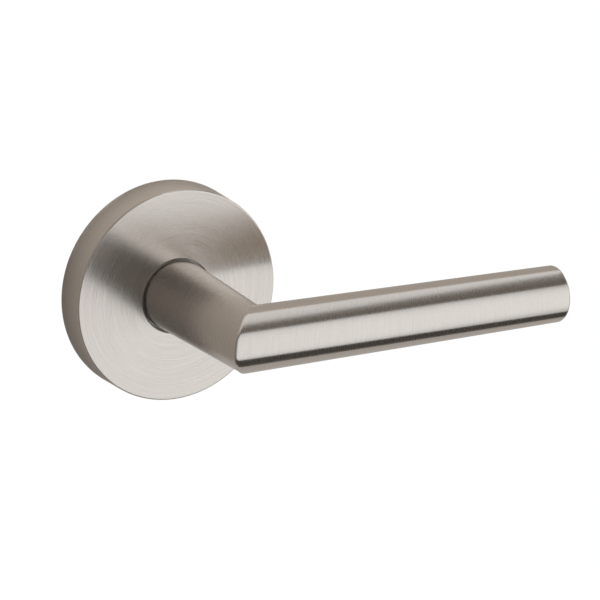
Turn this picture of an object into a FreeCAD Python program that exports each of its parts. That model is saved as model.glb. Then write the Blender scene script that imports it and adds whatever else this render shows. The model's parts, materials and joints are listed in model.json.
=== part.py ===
"""Door lever handle on a round rose: one side of a sprung passage set for a 54 mm cross bore.

Row frame, in millimetres: the door's face is the plane y = 0, the door lies towards +Y and the room
towards -Y, the spindle runs along Y, the grip points along +X and +Z is up. Every turned piece is drawn
as (radius, y) corners, and "in front" of the door face means towards -Y.
"""

import FreeCAD, Part
import math
import os
import re

import PartDesign
import Sketcher
from FreeCAD import Placement, Rotation, Vector

# Driving dimensions: alias, value in millimetres (degrees where the note says so), what it sizes.
SIZES = [
    ("travel", 48.0, "degrees that the lever turns each way from level"),
    ("axis_out", 56.1, "door face to the grip's axis"),
    ("joint_r", 9.5, "radius of the ball that neck and grip both just enclose where their axes meet"),
    ("neck_taper", 1.75, "degrees, half angle of the neck's cone"),
    ("grip_taper", 0.47, "degrees, half angle of the grip's cone"),
    ("grip_length", 104.6, "spindle axis to the grip's flat end"),
    ("tip_round", 0.8, "rounding of the grip's end"),
    ("rose_r", 33.0, "rose radius at the door"),
    ("rose_draft", 0.4, "how much smaller the rose's radius is at its front"),
    ("rose_depth", 10.9, "rose thickness"),
    ("rose_wall", 1.9, "thickness of the rose's wall"),
    ("rose_face", 1.7, "thickness of the rose's front"),
    ("rose_round", 0.5, "rounding of the rose's front edge"),
    ("neck_gap", 0.56, "radial gap between the neck and the rose"),
    ("lip_round", 0.45, "rounding of the rose's hole"),
    ("foot_set_in", 1.3, "how far the neck's foot stands inside the rose's hole"),
    ("plate_fit", 0.5, "radial clearance between the plate's rim and the rose's wall"),
    ("plate_depth", 4.4, "mounting plate rim thickness"),
    ("floor_t", 2.0, "mounting plate floor thickness"),
    ("spigot_r", 26.6, "radius of the ring that centres in the door's cross bore"),
    ("spigot_wall", 1.8, "wall of that ring"),
    ("spigot_length", 9.0, "how far that ring enters the door"),
    ("snap_wire", 1.2, "snap ring wire diameter"),
    ("snap_y", 2.2, "snap ring's distance in front of the door face"),
    ("snap_gap", 18.0, "degrees left open in the snap ring"),
    ("groove_gap", 0.1, "clearance of the snap ring in its grooves"),
    ("sleeve_wall", 1.34, "bearing sleeve wall"),
    ("collar_step", 2.0, "how far the sleeve's collar stands out"),
    ("collar_t", 1.0, "thickness of that collar"),
    ("seat_gap", 0.05, "clearance where one piece is seated in another"),
    ("bush_wall", 1.55, "bush wall"),
    ("bush_space", 0.8, "space between the two bushes"),
    ("flange_step", 1.19, "how far a bush's flange stands out"),
    ("flange_t", 0.8, "thickness of that flange"),
    ("journal_r", 8.0, "drive hub journal radius"),
    ("run_gap", 0.06, "radial running clearance of the journal"),
    ("end_float", 0.1, "axial play of the moving stack"),
    ("wave_gap", 0.4, "radial clearance of the wave washer on the journal"),
    ("wave_band", 2.1, "radial width of the wave washer"),
    ("wave_t", 0.25, "wave washer strip thickness"),
    ("wave_height", 0.6, "gap that the wave washer springs across"),
    ("washer_band", 3.1, "radial width of the thrust washer"),
    ("washer_t", 0.6, "thrust washer thickness"),
    ("shoulder_step", 2.3, "how far the hub's shoulder stands out from the journal"),
    ("shoulder_t", 1.0, "drive hub shoulder thickness"),
    ("tang_r", 7.2, "drive hub tang radius"),
    ("tang_wall", 1.95, "metal between the tang's flats and the square hole"),
    ("tang_length", 24.0, "tang length inside the neck"),
    ("tang_gap", 0.1, "clearance of the tang in the neck's socket"),
    ("socket_spare", 2.0, "socket depth past the tang's end"),
    ("cam_key", 1.3, "depth of the journal's flats that carry the cam"),
    ("square", 8.0, "spindle across its flats"),
    ("square_gap", 0.05, "clearance of each spindle flat in the hub"),
    ("spindle_out", 46.0, "spindle's end behind the door face"),
    ("spindle_set_in", 1.0, "spindle's front end inside the tang's end"),
    ("spindle_nose", 0.8, "chamfer of the spindle's ends"),
    ("pin_r", 1.25, "cross pin radius"),
    ("pin_from_end", 4.5, "cross pin's distance from the tang's end"),
    ("cam_t", 2.0, "cam plate thickness"),
    ("cam_ring_gap", 0.6, "clearance of the cam's ring from the bolt posts"),
    ("cam_lobe_gap", 1.2, "clearance of the cam's lobes inside the spigot ring"),
    ("stop_gap", 0.5, "degrees left between a lobe and its stop at full travel"),
    ("lug_gap", 0.45, "clearance of the cam's spring lug below the peg"),
    ("lug_depth", 2.6, "radial depth of the lug"),
    ("clip_t", 1.0, "circlip thickness"),
    ("clip_groove", 1.0, "circlip groove depth"),
    ("clip_band", 2.6, "circlip radial width"),
    ("clip_open", 64.0, "degrees open between the circlip's ears"),
    ("clip_ear_r", 1.5, "circlip ear radius"),
    ("clip_eye_r", 0.6, "circlip plier hole radius"),
    ("hub_tail", 0.75, "hub length behind the circlip"),
    ("bolt_spacing", 38.0, "distance between the two through bolts"),
    ("bolt_r", 2.0, "through bolt thread radius"),
    ("bolt_neck", 0.25, "how much thinner the bolt's plain shank is than its thread"),
    ("thread_start", 2.0, "where the thread starts, past the back of its post"),
    ("bolt_gap", 0.25, "radial clearance of a bolt in its post"),
    ("bolt_length", 25.0, "through bolt length under its head"),
    ("bolt_head_r", 3.9, "bolt head radius"),
    ("bolt_head_t", 2.5, "bolt head height"),
    ("bolt_crown", 0.7, "rounding of the bolt head"),
    ("cross_slot", 0.9, "width of the head's cross slot"),
    ("cross_reach", 2.1, "reach of each arm of the cross slot"),
    ("cross_depth", 1.5, "depth of the cross slot"),
    ("post_wall", 1.95, "bolt post wall behind the floor"),
    ("post_step", 1.0, "how much smaller a post or the peg is through the floor"),
    ("wire", 1.8, "return spring wire diameter"),
    ("coil_gap", 0.6, "clearance of the return spring round the sleeve"),
    ("coils", 3.0, "whole turns of the return spring before its legs are spread"),
    ("coil_space", 0.05, "space between one turn and the next"),
    ("leg_over", 0.9, "how far the spring's legs reach past the lug"),
    ("peg_r", 2.35, "spring peg radius, which also sets the legs apart"),
    ("peg_gap", 1.15, "clearance of the peg below the coils"),
    ("grub_r", 2.5, "set screw radius"),
    ("grub_sunk", 0.5, "how far the set screw lies below the neck's surface"),
    ("grub_y", 22.0, "set screw's distance in front of the door face"),
    ("grub_gap", 0.05, "clearance of the set screw in its thread and off the tang"),
    ("grub_key", 2.5, "set screw hexagon across its flats"),
    ("grub_key_depth", 1.8, "depth of that hexagon"),
]
ALIASES = {alias for alias, _, _ in SIZES}


def neck_radius(y):
    """Formula for the neck's radius at a distance y in front of the door face."""
    return f"((joint_r + (axis_out - ({y})) * sin(neck_taper)) / cos(neck_taper))"


# Radii that several pieces share, written out from the driving dimensions.
ROSE_BORE_R = f"({neck_radius('rose_depth')} + neck_gap)"
ROSE_INNER_R = "(rose_r - rose_wall)"
PLATE_R = f"({ROSE_INNER_R} - plate_fit)"
SNAP_RING_R = f"({PLATE_R} + plate_fit / 2)"
BUSH_BORE_R = "(journal_r + run_gap)"
BUSH_R = f"({BUSH_BORE_R} + bush_wall)"
SLEEVE_BORE_R = f"({BUSH_R} + seat_gap)"
SLEEVE_R = f"({SLEEVE_BORE_R} + sleeve_wall)"
COIL_R = f"({SLEEVE_R} + coil_gap + wire / 2)"
POST_R = "(bolt_r + bolt_gap + post_wall)"
CLIP_GROOVE_R = "(journal_r - clip_groove)"
TANG_FLAT = "(square / 2 + square_gap + tang_wall)"
CAM_FLAT = "(journal_r - cam_key)"

# Places that several pieces share. "front" ones lie in front of the door face, and "back" ones behind it.
COIL_PITCH = "(wire + coil_space)"
FLOOR_BACK = "(plate_depth - floor_t)"                              # front: the plate floor's back
FIRST_COIL = f"({FLOOR_BACK} - wire / 2 - seat_gap * 2)"            # front: the first coil's middle
CAM_FRONT = f"({COIL_PITCH} * coils - {FIRST_COIL} + wire / 2 + seat_gap)"  # back
SLEEVE_BACK = f"({CAM_FRONT} - end_float - washer_t - flange_t)"    # back
NECK_FOOT = "(rose_depth - foot_set_in)"                            # front
SHOULDER_BACK = f"({NECK_FOOT} - shoulder_t)"                       # front
SLEEVE_FRONT = f"({SHOULDER_BACK} - wave_height - flange_t)"        # front
TANG_END = f"({NECK_FOOT} + tang_length)"                           # front
HUB_END = f"({CAM_FRONT} + cam_t + clip_t + hub_tail)"              # back
PIN_Y = f"(pin_from_end - {TANG_END})"                              # the cross pin's y
LEG_X = "(peg_r + wire / 2 + seat_gap)"                             # spring leg's distance from the middle
PEG_DROP = f"({COIL_R} + wire / 2 + peg_gap + peg_r)"               # below the spindle's axis
LUG_TOP = f"({PEG_DROP} + peg_r + lug_gap)"                         # below the spindle's axis
LEG_REACH = f"({LUG_TOP} + lug_depth + leg_over)"                   # below the spindle's axis
GRUB_LENGTH = f"({neck_radius('grub_y')} - {TANG_FLAT} - grub_gap - grub_sunk)"

doc = FreeCAD.newDocument("door_lever")


def make_sheet():
    """The spreadsheet of driving dimensions: name, number and what it sizes."""
    sheet = doc.addObject("Spreadsheet::Sheet", "sizes")
    for row, (alias, value, note) in enumerate(SIZES, start=1):
        sheet.set(f"A{row}", alias)
        sheet.set(f"B{row}", str(value))
        sheet.set(f"C{row}", note)
        sheet.setAlias(f"B{row}", alias)
    doc.recompute()
    return sheet


def formula(text):
    """The text with each driving dimension's name made a reference to its cell."""

    def refer(match):
        word = match.group()
        return "sizes." + word if word in ALIASES else word

    return re.sub(r"[a-z_]+", refer, text)


def size(alias):
    """A driving dimension as a number."""
    return float(getattr(sizes, alias))


def bind(thing, **properties):
    """Ties properties of a document object to the sheet. A double underscore in a name stands for a dot."""
    for name, text in properties.items():
        thing.setExpression(name.replace("__", "."), formula(text))
    return thing


def place(thing, x="0", y="0", z="0", axis=None, angle=0.0):
    """Turns a piece about an axis through its origin and carries it to (x, y, z)."""
    if axis is not None:
        thing.Placement = Placement(Vector(), Rotation(axis, angle))
    return bind(thing, Placement__Base__x=x, Placement__Base__y=y, Placement__Base__z=z)


# ---- PartDesign helpers ----


def new_body(label):
    body = doc.addObject("PartDesign::Body", label)
    body.Label = label
    return body


def new_sketch(body, name, plane, lift="0"):
    """A sketch on one of the body's own origin planes, lifted along that plane's normal."""
    sketch = body.newObject("Sketcher::SketchObject", name)
    base = [f for f in body.Origin.OriginFeatures if f.Role == plane][0]
    sketch.AttachmentSupport = [(base, "")]
    sketch.MapMode = "FlatFace"
    return bind(sketch, AttachmentOffset__Base__z=lift)


def polygon(sketch, corners):
    """A closed outline through corners, each a pair of formulas measured from the sketch's origin."""
    first, count = sketch.GeometryCount, len(corners)
    turns = [2 * math.pi * i / count for i in range(count)]
    start = [Vector(math.cos(turn), math.sin(turn), 0) for turn in turns]
    for i in range(count):
        sketch.addGeometry(Part.LineSegment(start[i], start[(i + 1) % count]))
    for i in range(count):
        sketch.addConstraint(Sketcher.Constraint("Coincident", first + i, 2, first + (i + 1) % count, 1))
    for i, corner in enumerate(corners):
        for kind, value, text in zip(("DistanceX", "DistanceY"), start[i], corner):
            at = sketch.addConstraint(Sketcher.Constraint(kind, -1, 1, first + i, 1, value))
            sketch.setExpression(f"Constraints[{at}]", formula(text))


def rectangle(sketch, left, bottom, right, top):
    polygon(sketch, [(left, bottom), (right, bottom), (right, top), (left, top)])


def centred_square(sketch, half):
    rectangle(sketch, f"0 - {half}", f"0 - {half}", half, half)


def circle(sketch, radius, x="0", y="0"):
    at = sketch.addGeometry(Part.Circle(Vector(1, 1, 0), Vector(0, 0, 1), 1.0))
    for kind, text in (("DistanceX", x), ("DistanceY", y)):
        row = sketch.addConstraint(Sketcher.Constraint(kind, -1, 1, at, 3, 1.0))
        sketch.setExpression(f"Constraints[{row}]", formula(text))
    row = sketch.addConstraint(Sketcher.Constraint("Radius", at, 1.0))
    sketch.setExpression(f"Constraints[{row}]", formula(radius))


def turned(label, profile):
    """A body of revolution about Y from its half section, a list of (radius, y) formulas."""
    body = new_body(label)
    sketch = new_sketch(body, label + "_section", "XY_Plane")
    polygon(sketch, profile)
    spin = body.newObject("PartDesign::Revolution", label + "_turn")
    spin.Profile = sketch
    spin.ReferenceAxis = (sketch, ["V_Axis"])
    spin.Angle = 360.0
    return body


def cut_through(body, name, plane, draw, both_ways=True):
    """A pocket through the whole body from a sketch that draw() fills. It has to take material away."""
    doc.recompute()
    before = body.Shape.Volume
    sketch = new_sketch(body, name + "_sketch", plane)
    draw(sketch)
    pocket = body.newObject("PartDesign::Pocket", name)
    pocket.Profile = sketch
    pocket.Type = "ThroughAll"
    pocket.Midplane = both_ways
    doc.recompute()
    if body.Shape.Volume >= before:
        raise RuntimeError(f"{name} cut nothing from {body.Label}")
    return pocket


def pad(body, name, plane, draw, length, lift="0", reverse=False):
    sketch = new_sketch(body, name + "_sketch", plane, lift)
    draw(sketch)
    feature = body.newObject("PartDesign::Pad", name)
    feature.Profile = sketch
    feature.Reversed = reverse
    return bind(feature, Length=length)


def pocket(body, name, plane, draw, length, lift="0", reverse=False):
    """A blind pocket. It has to take material away."""
    doc.recompute()
    before = body.Shape.Volume
    sketch = new_sketch(body, name + "_sketch", plane, lift)
    draw(sketch)
    feature = body.newObject("PartDesign::Pocket", name)
    feature.Profile = sketch
    feature.Reversed = reverse
    bind(feature, Length=length)
    doc.recompute()
    if body.Shape.Volume >= before:
        raise RuntimeError(f"{name} cut nothing from {body.Label}")
    return feature


def dress(body, kind, name, wanted, amount):
    """A PartDesign Fillet or Chamfer on the edges of the tip for which wanted(edge) is true."""
    doc.recompute()
    tip = body.Tip
    names = [f"Edge{i}" for i, edge in enumerate(tip.Shape.Edges, start=1) if wanted(edge)]
    if not names:
        raise RuntimeError(f"{name} found no edge on {body.Label}")
    feature = body.newObject("PartDesign::" + kind, name)
    feature.Base = (tip, names)
    return bind(feature, **{"Radius" if kind == "Fillet" else "Size": amount})


def ring_edge(radius, y):
    """A test for the circular edge of that radius about the Y axis at that y."""

    def wanted(edge):
        curve = edge.Curve
        if not isinstance(curve, Part.Circle):
            return False
        return abs(curve.Radius - radius) < 1e-4 and (curve.Center - Vector(0, y, 0)).Length < 1e-4

    return wanted


# ---- Part helpers ----


def solid(kind, name, **properties):
    return bind(doc.addObject("Part::" + kind, name), **properties)


def boolean(kind, name, base, tool):
    result = doc.addObject("Part::" + kind, name)
    result.Base = base
    result.Tool = tool
    result.Label = name
    return result


def joined(name, pieces):
    result = doc.addObject("Part::MultiFuse", name)
    result.Shapes = pieces
    result.Refine = True
    result.Label = name
    return result


def rod_along_y(name, radius, front, back, x="0", z="0"):
    """A cylinder along Y. front is measured in front of the door face and back behind it."""
    rod = solid("Cylinder", name, Radius=radius, Height=f"{front} + {back}")
    return place(rod, x=x, y=f"0 - {front}", z=z, axis=Vector(1, 0, 0), angle=-90)


def flatted_rod(name, radius, flat, front, back):
    """A rod along Y with two flats facing up and down."""
    rod = rod_along_y(name + "_round", radius, front, back)
    slab = solid("Box", name + "_slab", Length=f"4 * ({radius})", Height=f"2 * ({flat})")
    bind(slab, Width=f"{front} + {back}")
    place(slab, x=f"0 - 2 * ({radius})", y=f"0 - {front}", z=f"0 - ({flat})")
    return boolean("Common", name, rod, slab)


# ---- The pieces ----


def lever():
    """Neck and grip as one mitred casting, with a socket for the drive hub's tang and a hole for its screw.

    The two cones enclose one ball of radius joint_r where their axes meet, so they meet along a flat mitre.
    """
    spare = "1.5 * joint_r"
    neck = solid(
        "Cone",
        "neck_cone",
        Radius1=neck_radius(NECK_FOOT),
        Radius2=neck_radius(f"axis_out + {spare}"),
        Height=f"axis_out - {NECK_FOOT} + {spare}",
    )
    place(neck, y=f"0 - {NECK_FOOT}", axis=Vector(1, 0, 0), angle=90)
    grip = solid(
        "Cone",
        "grip_cone",
        Radius1=f"(joint_r + {spare} * sin(grip_taper)) / cos(grip_taper)",
        Radius2="(joint_r - grip_length * sin(grip_taper)) / cos(grip_taper)",
        Height=f"grip_length + {spare}",
    )
    place(grip, x=f"0 - {spare}", y="0 - axis_out", axis=Vector(0, 1, 0), angle=90)
    doc.recompute()
    grip_round = doc.addObject("Part::Fillet", "grip_rounded")
    grip_round.Base = grip
    for number, edge in enumerate(grip.Shape.Edges, start=1):
        if abs(edge.CenterOfMass.x - size("grip_length")) < 1e-3:
            grip_round.Edges = [(number, size("tip_round"), size("tip_round"))]

    # The mitre plane is x = slope * (y + axis_out) + shift, and the grip lies on its +X side.
    slope = "(cos(grip_taper) / cos(neck_taper))"
    shift = f"(joint_r * (sin(grip_taper) + sin(neck_taper) * {slope}))"
    block = solid("Box", "grip_side", Length="3 * grip_length", Width="6 * axis_out", Height="6 * joint_r")
    bind(block, Placement__Rotation__Angle=f"-atan({slope})")
    run = f"(3 * axis_out / sqrt({slope} ^ 2 + 1))"
    bind(
        block,
        Placement__Base__x=f"{shift} - {run} * {slope}",
        Placement__Base__y=f"0 - axis_out - {run}",
        Placement__Base__z="0 - 3 * joint_r",
    )
    neck_half = boolean("Cut", "neck_half", neck, block)
    grip_half = boolean("Common", "grip_half", grip_round, block)
    whole = joined("lever_whole", [neck_half, grip_half])

    front, back = f"({TANG_END} + socket_spare)", f"(0 - {NECK_FOOT})"
    socket = flatted_rod("socket", "tang_r + tang_gap", f"{TANG_FLAT} + tang_gap", front, back)
    hollow = boolean("Cut", "lever_hollow", whole, socket)
    screw_hole = solid("Cylinder", "screw_hole", Radius="grub_r + grub_gap", Height="2 * joint_r")
    place(screw_hole, y="0 - grub_y", z="0 - 2 * joint_r")
    return boolean("Cut", "lever", hollow, screw_hole)


def lever_set_screw():
    """Socket set screw, up through the underside of the neck onto the tang's lower flat."""
    body = new_body("lever_set_screw")
    pad(body, "grub_shank", "XY_Plane", lambda s: circle(s, "grub_r"), GRUB_LENGTH)
    corner = "(grub_key / sqrt(3))"
    turn = [(f"{corner} * cos({60 * i})", f"{corner} * sin({60 * i})") for i in range(6)]
    pocket(body, "grub_hexagon", "XY_Plane", lambda s: polygon(s, turn), "grub_key_depth", reverse=True)

    def cup_rim(edge):
        return isinstance(edge.Curve, Part.Circle) and edge.CenterOfMass.z > size("grub_key_depth") + 1e-3

    dress(body, "Chamfer", "grub_point", cup_rim, "grub_r / 4")
    return place(body, y="0 - grub_y", z=f"0 - {TANG_FLAT} - grub_gap - {GRUB_LENGTH}")


def rose_cover():
    """The cap over the mounting plate, with a groove inside its wall for the snap ring."""
    groove_r = f"({SNAP_RING_R} + snap_wire / 2 + groove_gap)"
    front, back = "(0 - snap_y - snap_wire / 2 - groove_gap)", "(0 - snap_y + snap_wire / 2 + groove_gap)"
    body = turned(
        "rose_cover",
        [
            (ROSE_BORE_R, "0 - rose_depth"),
            ("rose_r - rose_draft", "0 - rose_depth"),
            ("rose_r", "0"),
            (ROSE_INNER_R, "0"),
            (ROSE_INNER_R, back),
            (groove_r, back),
            (groove_r, front),
            (ROSE_INNER_R, front),
            (ROSE_INNER_R, "0 - rose_depth + rose_face"),
            (ROSE_BORE_R, "0 - rose_depth + rose_face"),
        ],
    )
    doc.recompute()
    front_edges = [e for e in body.Shape.Edges if abs(e.CenterOfMass.y + size("rose_depth")) < 1e-3]
    radii = sorted(edge.Curve.Radius for edge in front_edges)
    dress(body, "Fillet", "rose_front_round", ring_edge(radii[-1], -size("rose_depth")), "rose_round")
    dress(body, "Fillet", "rose_lip_round", ring_edge(radii[0], -size("rose_depth")), "lip_round")
    return body


def rose_snap_ring():
    """Open wire ring that holds the rose on the plate; its gap is at the bottom."""
    ring = solid("Torus", "rose_snap_ring", Radius1=SNAP_RING_R, Radius2="snap_wire / 2")
    bind(ring, Angle3="360 - snap_gap")
    gap_at_bottom = Rotation(Vector(0, 0, 1), -90 + size("snap_gap") / 2)
    ring.Placement = Placement(Vector(), Rotation(Vector(1, 0, 0), 90) * gap_at_bottom)
    return bind(ring, Placement__Base__y="0 - snap_y")


def mounting_plate():
    """The cast plate behind the rose: grooved rim, floor, and the ring that centres in the door."""
    groove_r = f"({SNAP_RING_R} - snap_wire / 2 - groove_gap)"
    front, back = "(0 - snap_y - snap_wire / 2 - groove_gap)", "(0 - snap_y + snap_wire / 2 + groove_gap)"
    body = turned(
        "mounting_plate",
        [
            (f"{SLEEVE_R} + seat_gap", "0 - plate_depth"),
            (PLATE_R, "0 - plate_depth"),
            (PLATE_R, front),
            (groove_r, front),
            (groove_r, back),
            (PLATE_R, back),
            (PLATE_R, "0"),
            ("spigot_r", "0"),
            ("spigot_r", "spigot_length"),
            ("spigot_r - spigot_wall", "spigot_length"),
            ("spigot_r - spigot_wall", f"0 - {FLOOR_BACK}"),
            (f"{SLEEVE_R} + seat_gap", f"0 - {FLOOR_BACK}"),
        ],
    )

    def holes(sketch):
        for side in ("-1", "1"):
            circle(sketch, f"{POST_R} - post_step + seat_gap", x=f"{side} * bolt_spacing / 2")
        circle(sketch, "peg_r - post_step / 2 + seat_gap", y=f"0 - {PEG_DROP}")

    cut_through(body, "plate_holes", "XZ_Plane", holes)
    spigot_end = ring_edge(size("spigot_r"), size("spigot_length"))
    dress(body, "Chamfer", "spigot_lead_in", spigot_end, "spigot_wall / 3")
    return body


def bearing_sleeve():
    """The tube that the drive hub turns in, with a collar in front of the plate's floor."""
    return turned(
        "bearing_sleeve",
        [
            (SLEEVE_BORE_R, f"0 - {SLEEVE_FRONT}"),
            (SLEEVE_R, f"0 - {SLEEVE_FRONT}"),
            (SLEEVE_R, "0 - plate_depth - collar_t"),
            (f"{SLEEVE_R} + collar_step", "0 - plate_depth - collar_t"),
            (f"{SLEEVE_R} + collar_step", "0 - plate_depth"),
            (SLEEVE_R, "0 - plate_depth"),
            (SLEEVE_R, SLEEVE_BACK),
            (SLEEVE_BORE_R, SLEEVE_BACK),
        ],
    )


def bush(label, end, outward):
    """A flanged plastic bush in one end of the sleeve. end is that end's y, and outward is 1 or -1."""
    flange_r = f"{BUSH_R} + flange_step"
    far = f"{end} + {outward} * flange_t"
    near = f"{end} - {outward} * ({SLEEVE_FRONT} + {SLEEVE_BACK} - bush_space) / 2"
    tube = [(BUSH_BORE_R, near), (BUSH_R, near), (BUSH_R, end)]
    return turned(label, tube + [(flange_r, end), (flange_r, far), (BUSH_BORE_R, far)])


def wave_washer():
    """Three-wave spring washer between the front bush and the drive hub's shoulder."""
    waves, steps = 3, 36
    rise = (size("wave_height") - size("wave_t") - 2 * size("seat_gap")) / 2

    def rim(radius):
        curve = Part.BSplineCurve()
        points = []
        for step in range(steps):
            turn = 2 * math.pi * step / steps
            lift = rise * math.cos(waves * turn)
            points.append(Vector(radius * math.cos(turn), lift, radius * math.sin(turn)))
        curve.interpolate(points, PeriodicFlag=True)
        return curve.toShape()

    hole_r = size("journal_r") + size("wave_gap")
    strip = Part.makeRuledSurface(rim(hole_r), rim(hole_r + size("wave_band")))
    washer = doc.addObject("Part::Feature", "wave_washer")
    washer.Shape = strip.extrude(Vector(0, size("wave_t"), 0))
    shoulder_back = size("rose_depth") - size("foot_set_in") - size("shoulder_t")
    middle = shoulder_back - size("wave_height") / 2 + size("wave_t") / 2
    washer.Placement = Placement(Vector(0, -middle, 0), Rotation())
    return washer


def drive_hub():
    """The turning core: tang, shoulder, journal, flats for the cam, circlip groove and square hole."""
    clip_front = f"{CAM_FRONT} + cam_t"
    body = turned(
        "drive_hub",
        [
            ("square / 4", f"0 - {TANG_END}"),
            ("tang_r", f"0 - {TANG_END}"),
            ("tang_r", f"0 - {NECK_FOOT}"),
            ("journal_r + shoulder_step", f"0 - {NECK_FOOT}"),
            ("journal_r + shoulder_step", f"0 - {SHOULDER_BACK}"),
            ("journal_r", f"0 - {SHOULDER_BACK}"),
            ("journal_r", clip_front),
            (CLIP_GROOVE_R, clip_front),
            (CLIP_GROOVE_R, f"{clip_front} + clip_t"),
            ("journal_r", f"{clip_front} + clip_t"),
            ("journal_r", HUB_END),
            ("square / 4", HUB_END),
        ],
    )

    def flats(sketch):
        for side in ("-1", "1"):
            far = f"{side} * 2 * journal_r"
            rectangle(sketch, f"0 - {TANG_END} - 1", f"{side} * {TANG_FLAT}", f"0 - {NECK_FOOT}", far)
            rectangle(sketch, CAM_FRONT, f"{side} * {CAM_FLAT}", f"{HUB_END} + 1", far)

    cut_through(body, "hub_flats", "YZ_Plane", flats)
    cut_through(body, "hub_square", "XZ_Plane", lambda s: centred_square(s, "(square / 2 + square_gap)"))
    cut_through(body, "hub_pin_hole", "YZ_Plane", lambda s: circle(s, "pin_r + seat_gap / 2", x=PIN_Y))
    return body


def thrust_washer():
    """Flat washer between the rear bush and the cam."""
    hole_r = "journal_r + seat_gap * 2"
    front, back = f"{SLEEVE_BACK} + flange_t", f"{SLEEVE_BACK} + flange_t + washer_t"
    outside_r = f"{hole_r} + washer_band"
    return turned("thrust_washer", [(hole_r, front), (outside_r, front), (outside_r, back), (hole_r, back)])


def return_spring():
    """Torsion spring round the sleeve. Its two legs hang down, one each side of the peg and the cam lug."""
    spread = f"(asin({LEG_X} / {COIL_R}) / 1 deg)"
    turns = f"(coils - 2 * {spread} / 360)"
    drop = f"sqrt({COIL_R} ^ 2 - {LEG_X} ^ 2)"
    climb = f"{COIL_PITCH} * {turns}"
    coil = solid("Helix", "spring_path", Pitch=COIL_PITCH, Height=climb, Radius=COIL_R)
    wire = solid("Circle", "spring_wire", Radius="wire / 2")
    wire.Placement = Placement(Vector(), Rotation(Vector(1, 0, 0), 90))
    bind(wire, Placement__Base__x=COIL_R)
    doc.recompute()
    sweep = doc.addObject("Part::Sweep", "spring_coil")
    sweep.Sections = [wire]
    sweep.Spine = (coil, ["Edge1"])
    sweep.Solid = True
    sweep.Frenet = True
    # The coil climbs along +Y, from beside the peg on its +X side to beside it on its -X side.
    leg_x = size("peg_r") + size("wire") / 2 + size("seat_gap")
    from_the_peg = Rotation(Vector(0, 0, 1), 90 - math.degrees(math.asin(leg_x / coil.Radius.Value)))
    sweep.Placement = Placement(Vector(), Rotation(Vector(1, 0, 0), -90) * from_the_peg)
    bind(sweep, Placement__Base__y=f"0 - {FIRST_COIL}")
    pieces = [sweep]
    for end, sign, y in (("front", "", f"0 - {FIRST_COIL}"), ("back", "0 - ", f"0 - {FIRST_COIL} + {climb}")):
        leg = solid("Cylinder", f"spring_leg_{end}", Radius="wire / 2", Height=f"{LEG_REACH} - {drop}")
        place(leg, x=sign + LEG_X, y=y, z=f"0 - {LEG_REACH}")
        knee = solid("Sphere", f"spring_knee_{end}", Radius="wire / 2")
        place(knee, x=sign + LEG_X, y=y, z=f"0 - {drop}")
        pieces += [leg, knee]
    return joined("return_spring", pieces)


def stop_cam():
    """Plate keyed on the hub. Its lobes stop against the bolt posts, and its lug pushes the spring's legs."""
    front, back = f"(0 - {CAM_FRONT})", f"({CAM_FRONT} + cam_t)"
    half = f"(90 - asin({POST_R} / (bolt_spacing / 2)) / 1 deg - travel - stop_gap)"
    pieces = [rod_along_y("cam_ring", f"bolt_spacing / 2 - {POST_R} - cam_ring_gap", front, back)]
    for name, side in (("cam_lobe_top", "90"), ("cam_lobe_bottom", "270")):
        lobe = solid("Cylinder", name, Height="cam_t", Angle=f"2 * {half}")
        bind(lobe, Radius="spigot_r - spigot_wall - cam_lobe_gap")
        holder = doc.addObject("Part::Compound", name + "_turned")
        holder.Links = [lobe]
        bind(lobe, Placement__Rotation__Angle=f"{side} - {half}")
        place(holder, y=CAM_FRONT, axis=Vector(1, 0, 0), angle=-90)
        pieces.append(holder)
    lug_y = f"(0 - {FIRST_COIL} - wire / 4)"
    lug = solid("Box", "cam_lug", Length="2 * peg_r", Height="lug_depth")
    bind(lug, Width=f"{CAM_FRONT} + cam_t / 2 - {lug_y}")
    place(lug, x="0 - peg_r", y=lug_y, z=f"0 - {LUG_TOP} - lug_depth")
    whole = joined("cam_blank", pieces + [lug])
    keyhole = flatted_rod("cam_keyhole", "journal_r + seat_gap", f"{CAM_FLAT} + seat_gap", front, back)
    return boolean("Cut", "stop_cam", whole, keyhole)


def hub_circlip():
    """External circlip behind the cam, with two plier eyes at the top."""
    front, back = f"(0 - {CAM_FRONT} - cam_t)", f"({CAM_FRONT} + cam_t + clip_t - seat_gap)"
    band_r = f"({CLIP_GROOVE_R} + clip_band)"
    disc = rod_along_y("clip_disc", band_r, front, back)
    ears, eyes = [], []
    place_r = f"({CLIP_GROOVE_R} + clip_band - clip_ear_r / 3)"
    for name, side in (("left", "-1"), ("right", "1")):
        x, z = f"{side} * {place_r} * sin(clip_open / 2)", f"{place_r} * cos(clip_open / 2)"
        ears.append(rod_along_y(f"clip_ear_{name}", "clip_ear_r", front, back, x=x, z=z))
        eyes.append(rod_along_y(f"clip_eye_{name}", "clip_eye_r", front, back, x=x, z=z))
    bore = rod_along_y("clip_bore", f"{CLIP_GROOVE_R} + seat_gap", front, back)
    half_mouth = f"{CLIP_GROOVE_R} * sin(clip_open / 2)"
    mouth = solid("Box", "clip_mouth", Length=f"2 * {half_mouth}", Width="2 * clip_t", Height=band_r)
    place(mouth, x=f"0 - {half_mouth}", y=f"{CAM_FRONT} + cam_t - clip_t / 2")
    open_ring = boolean("Cut", "clip_open_ring", disc, joined("clip_waste", [bore, mouth]))
    eared_ring = joined("clip_eared", [open_ring] + ears)
    return boolean("Cut", "hub_circlip", eared_ring, joined("clip_holes", [bore] + eyes))


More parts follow.
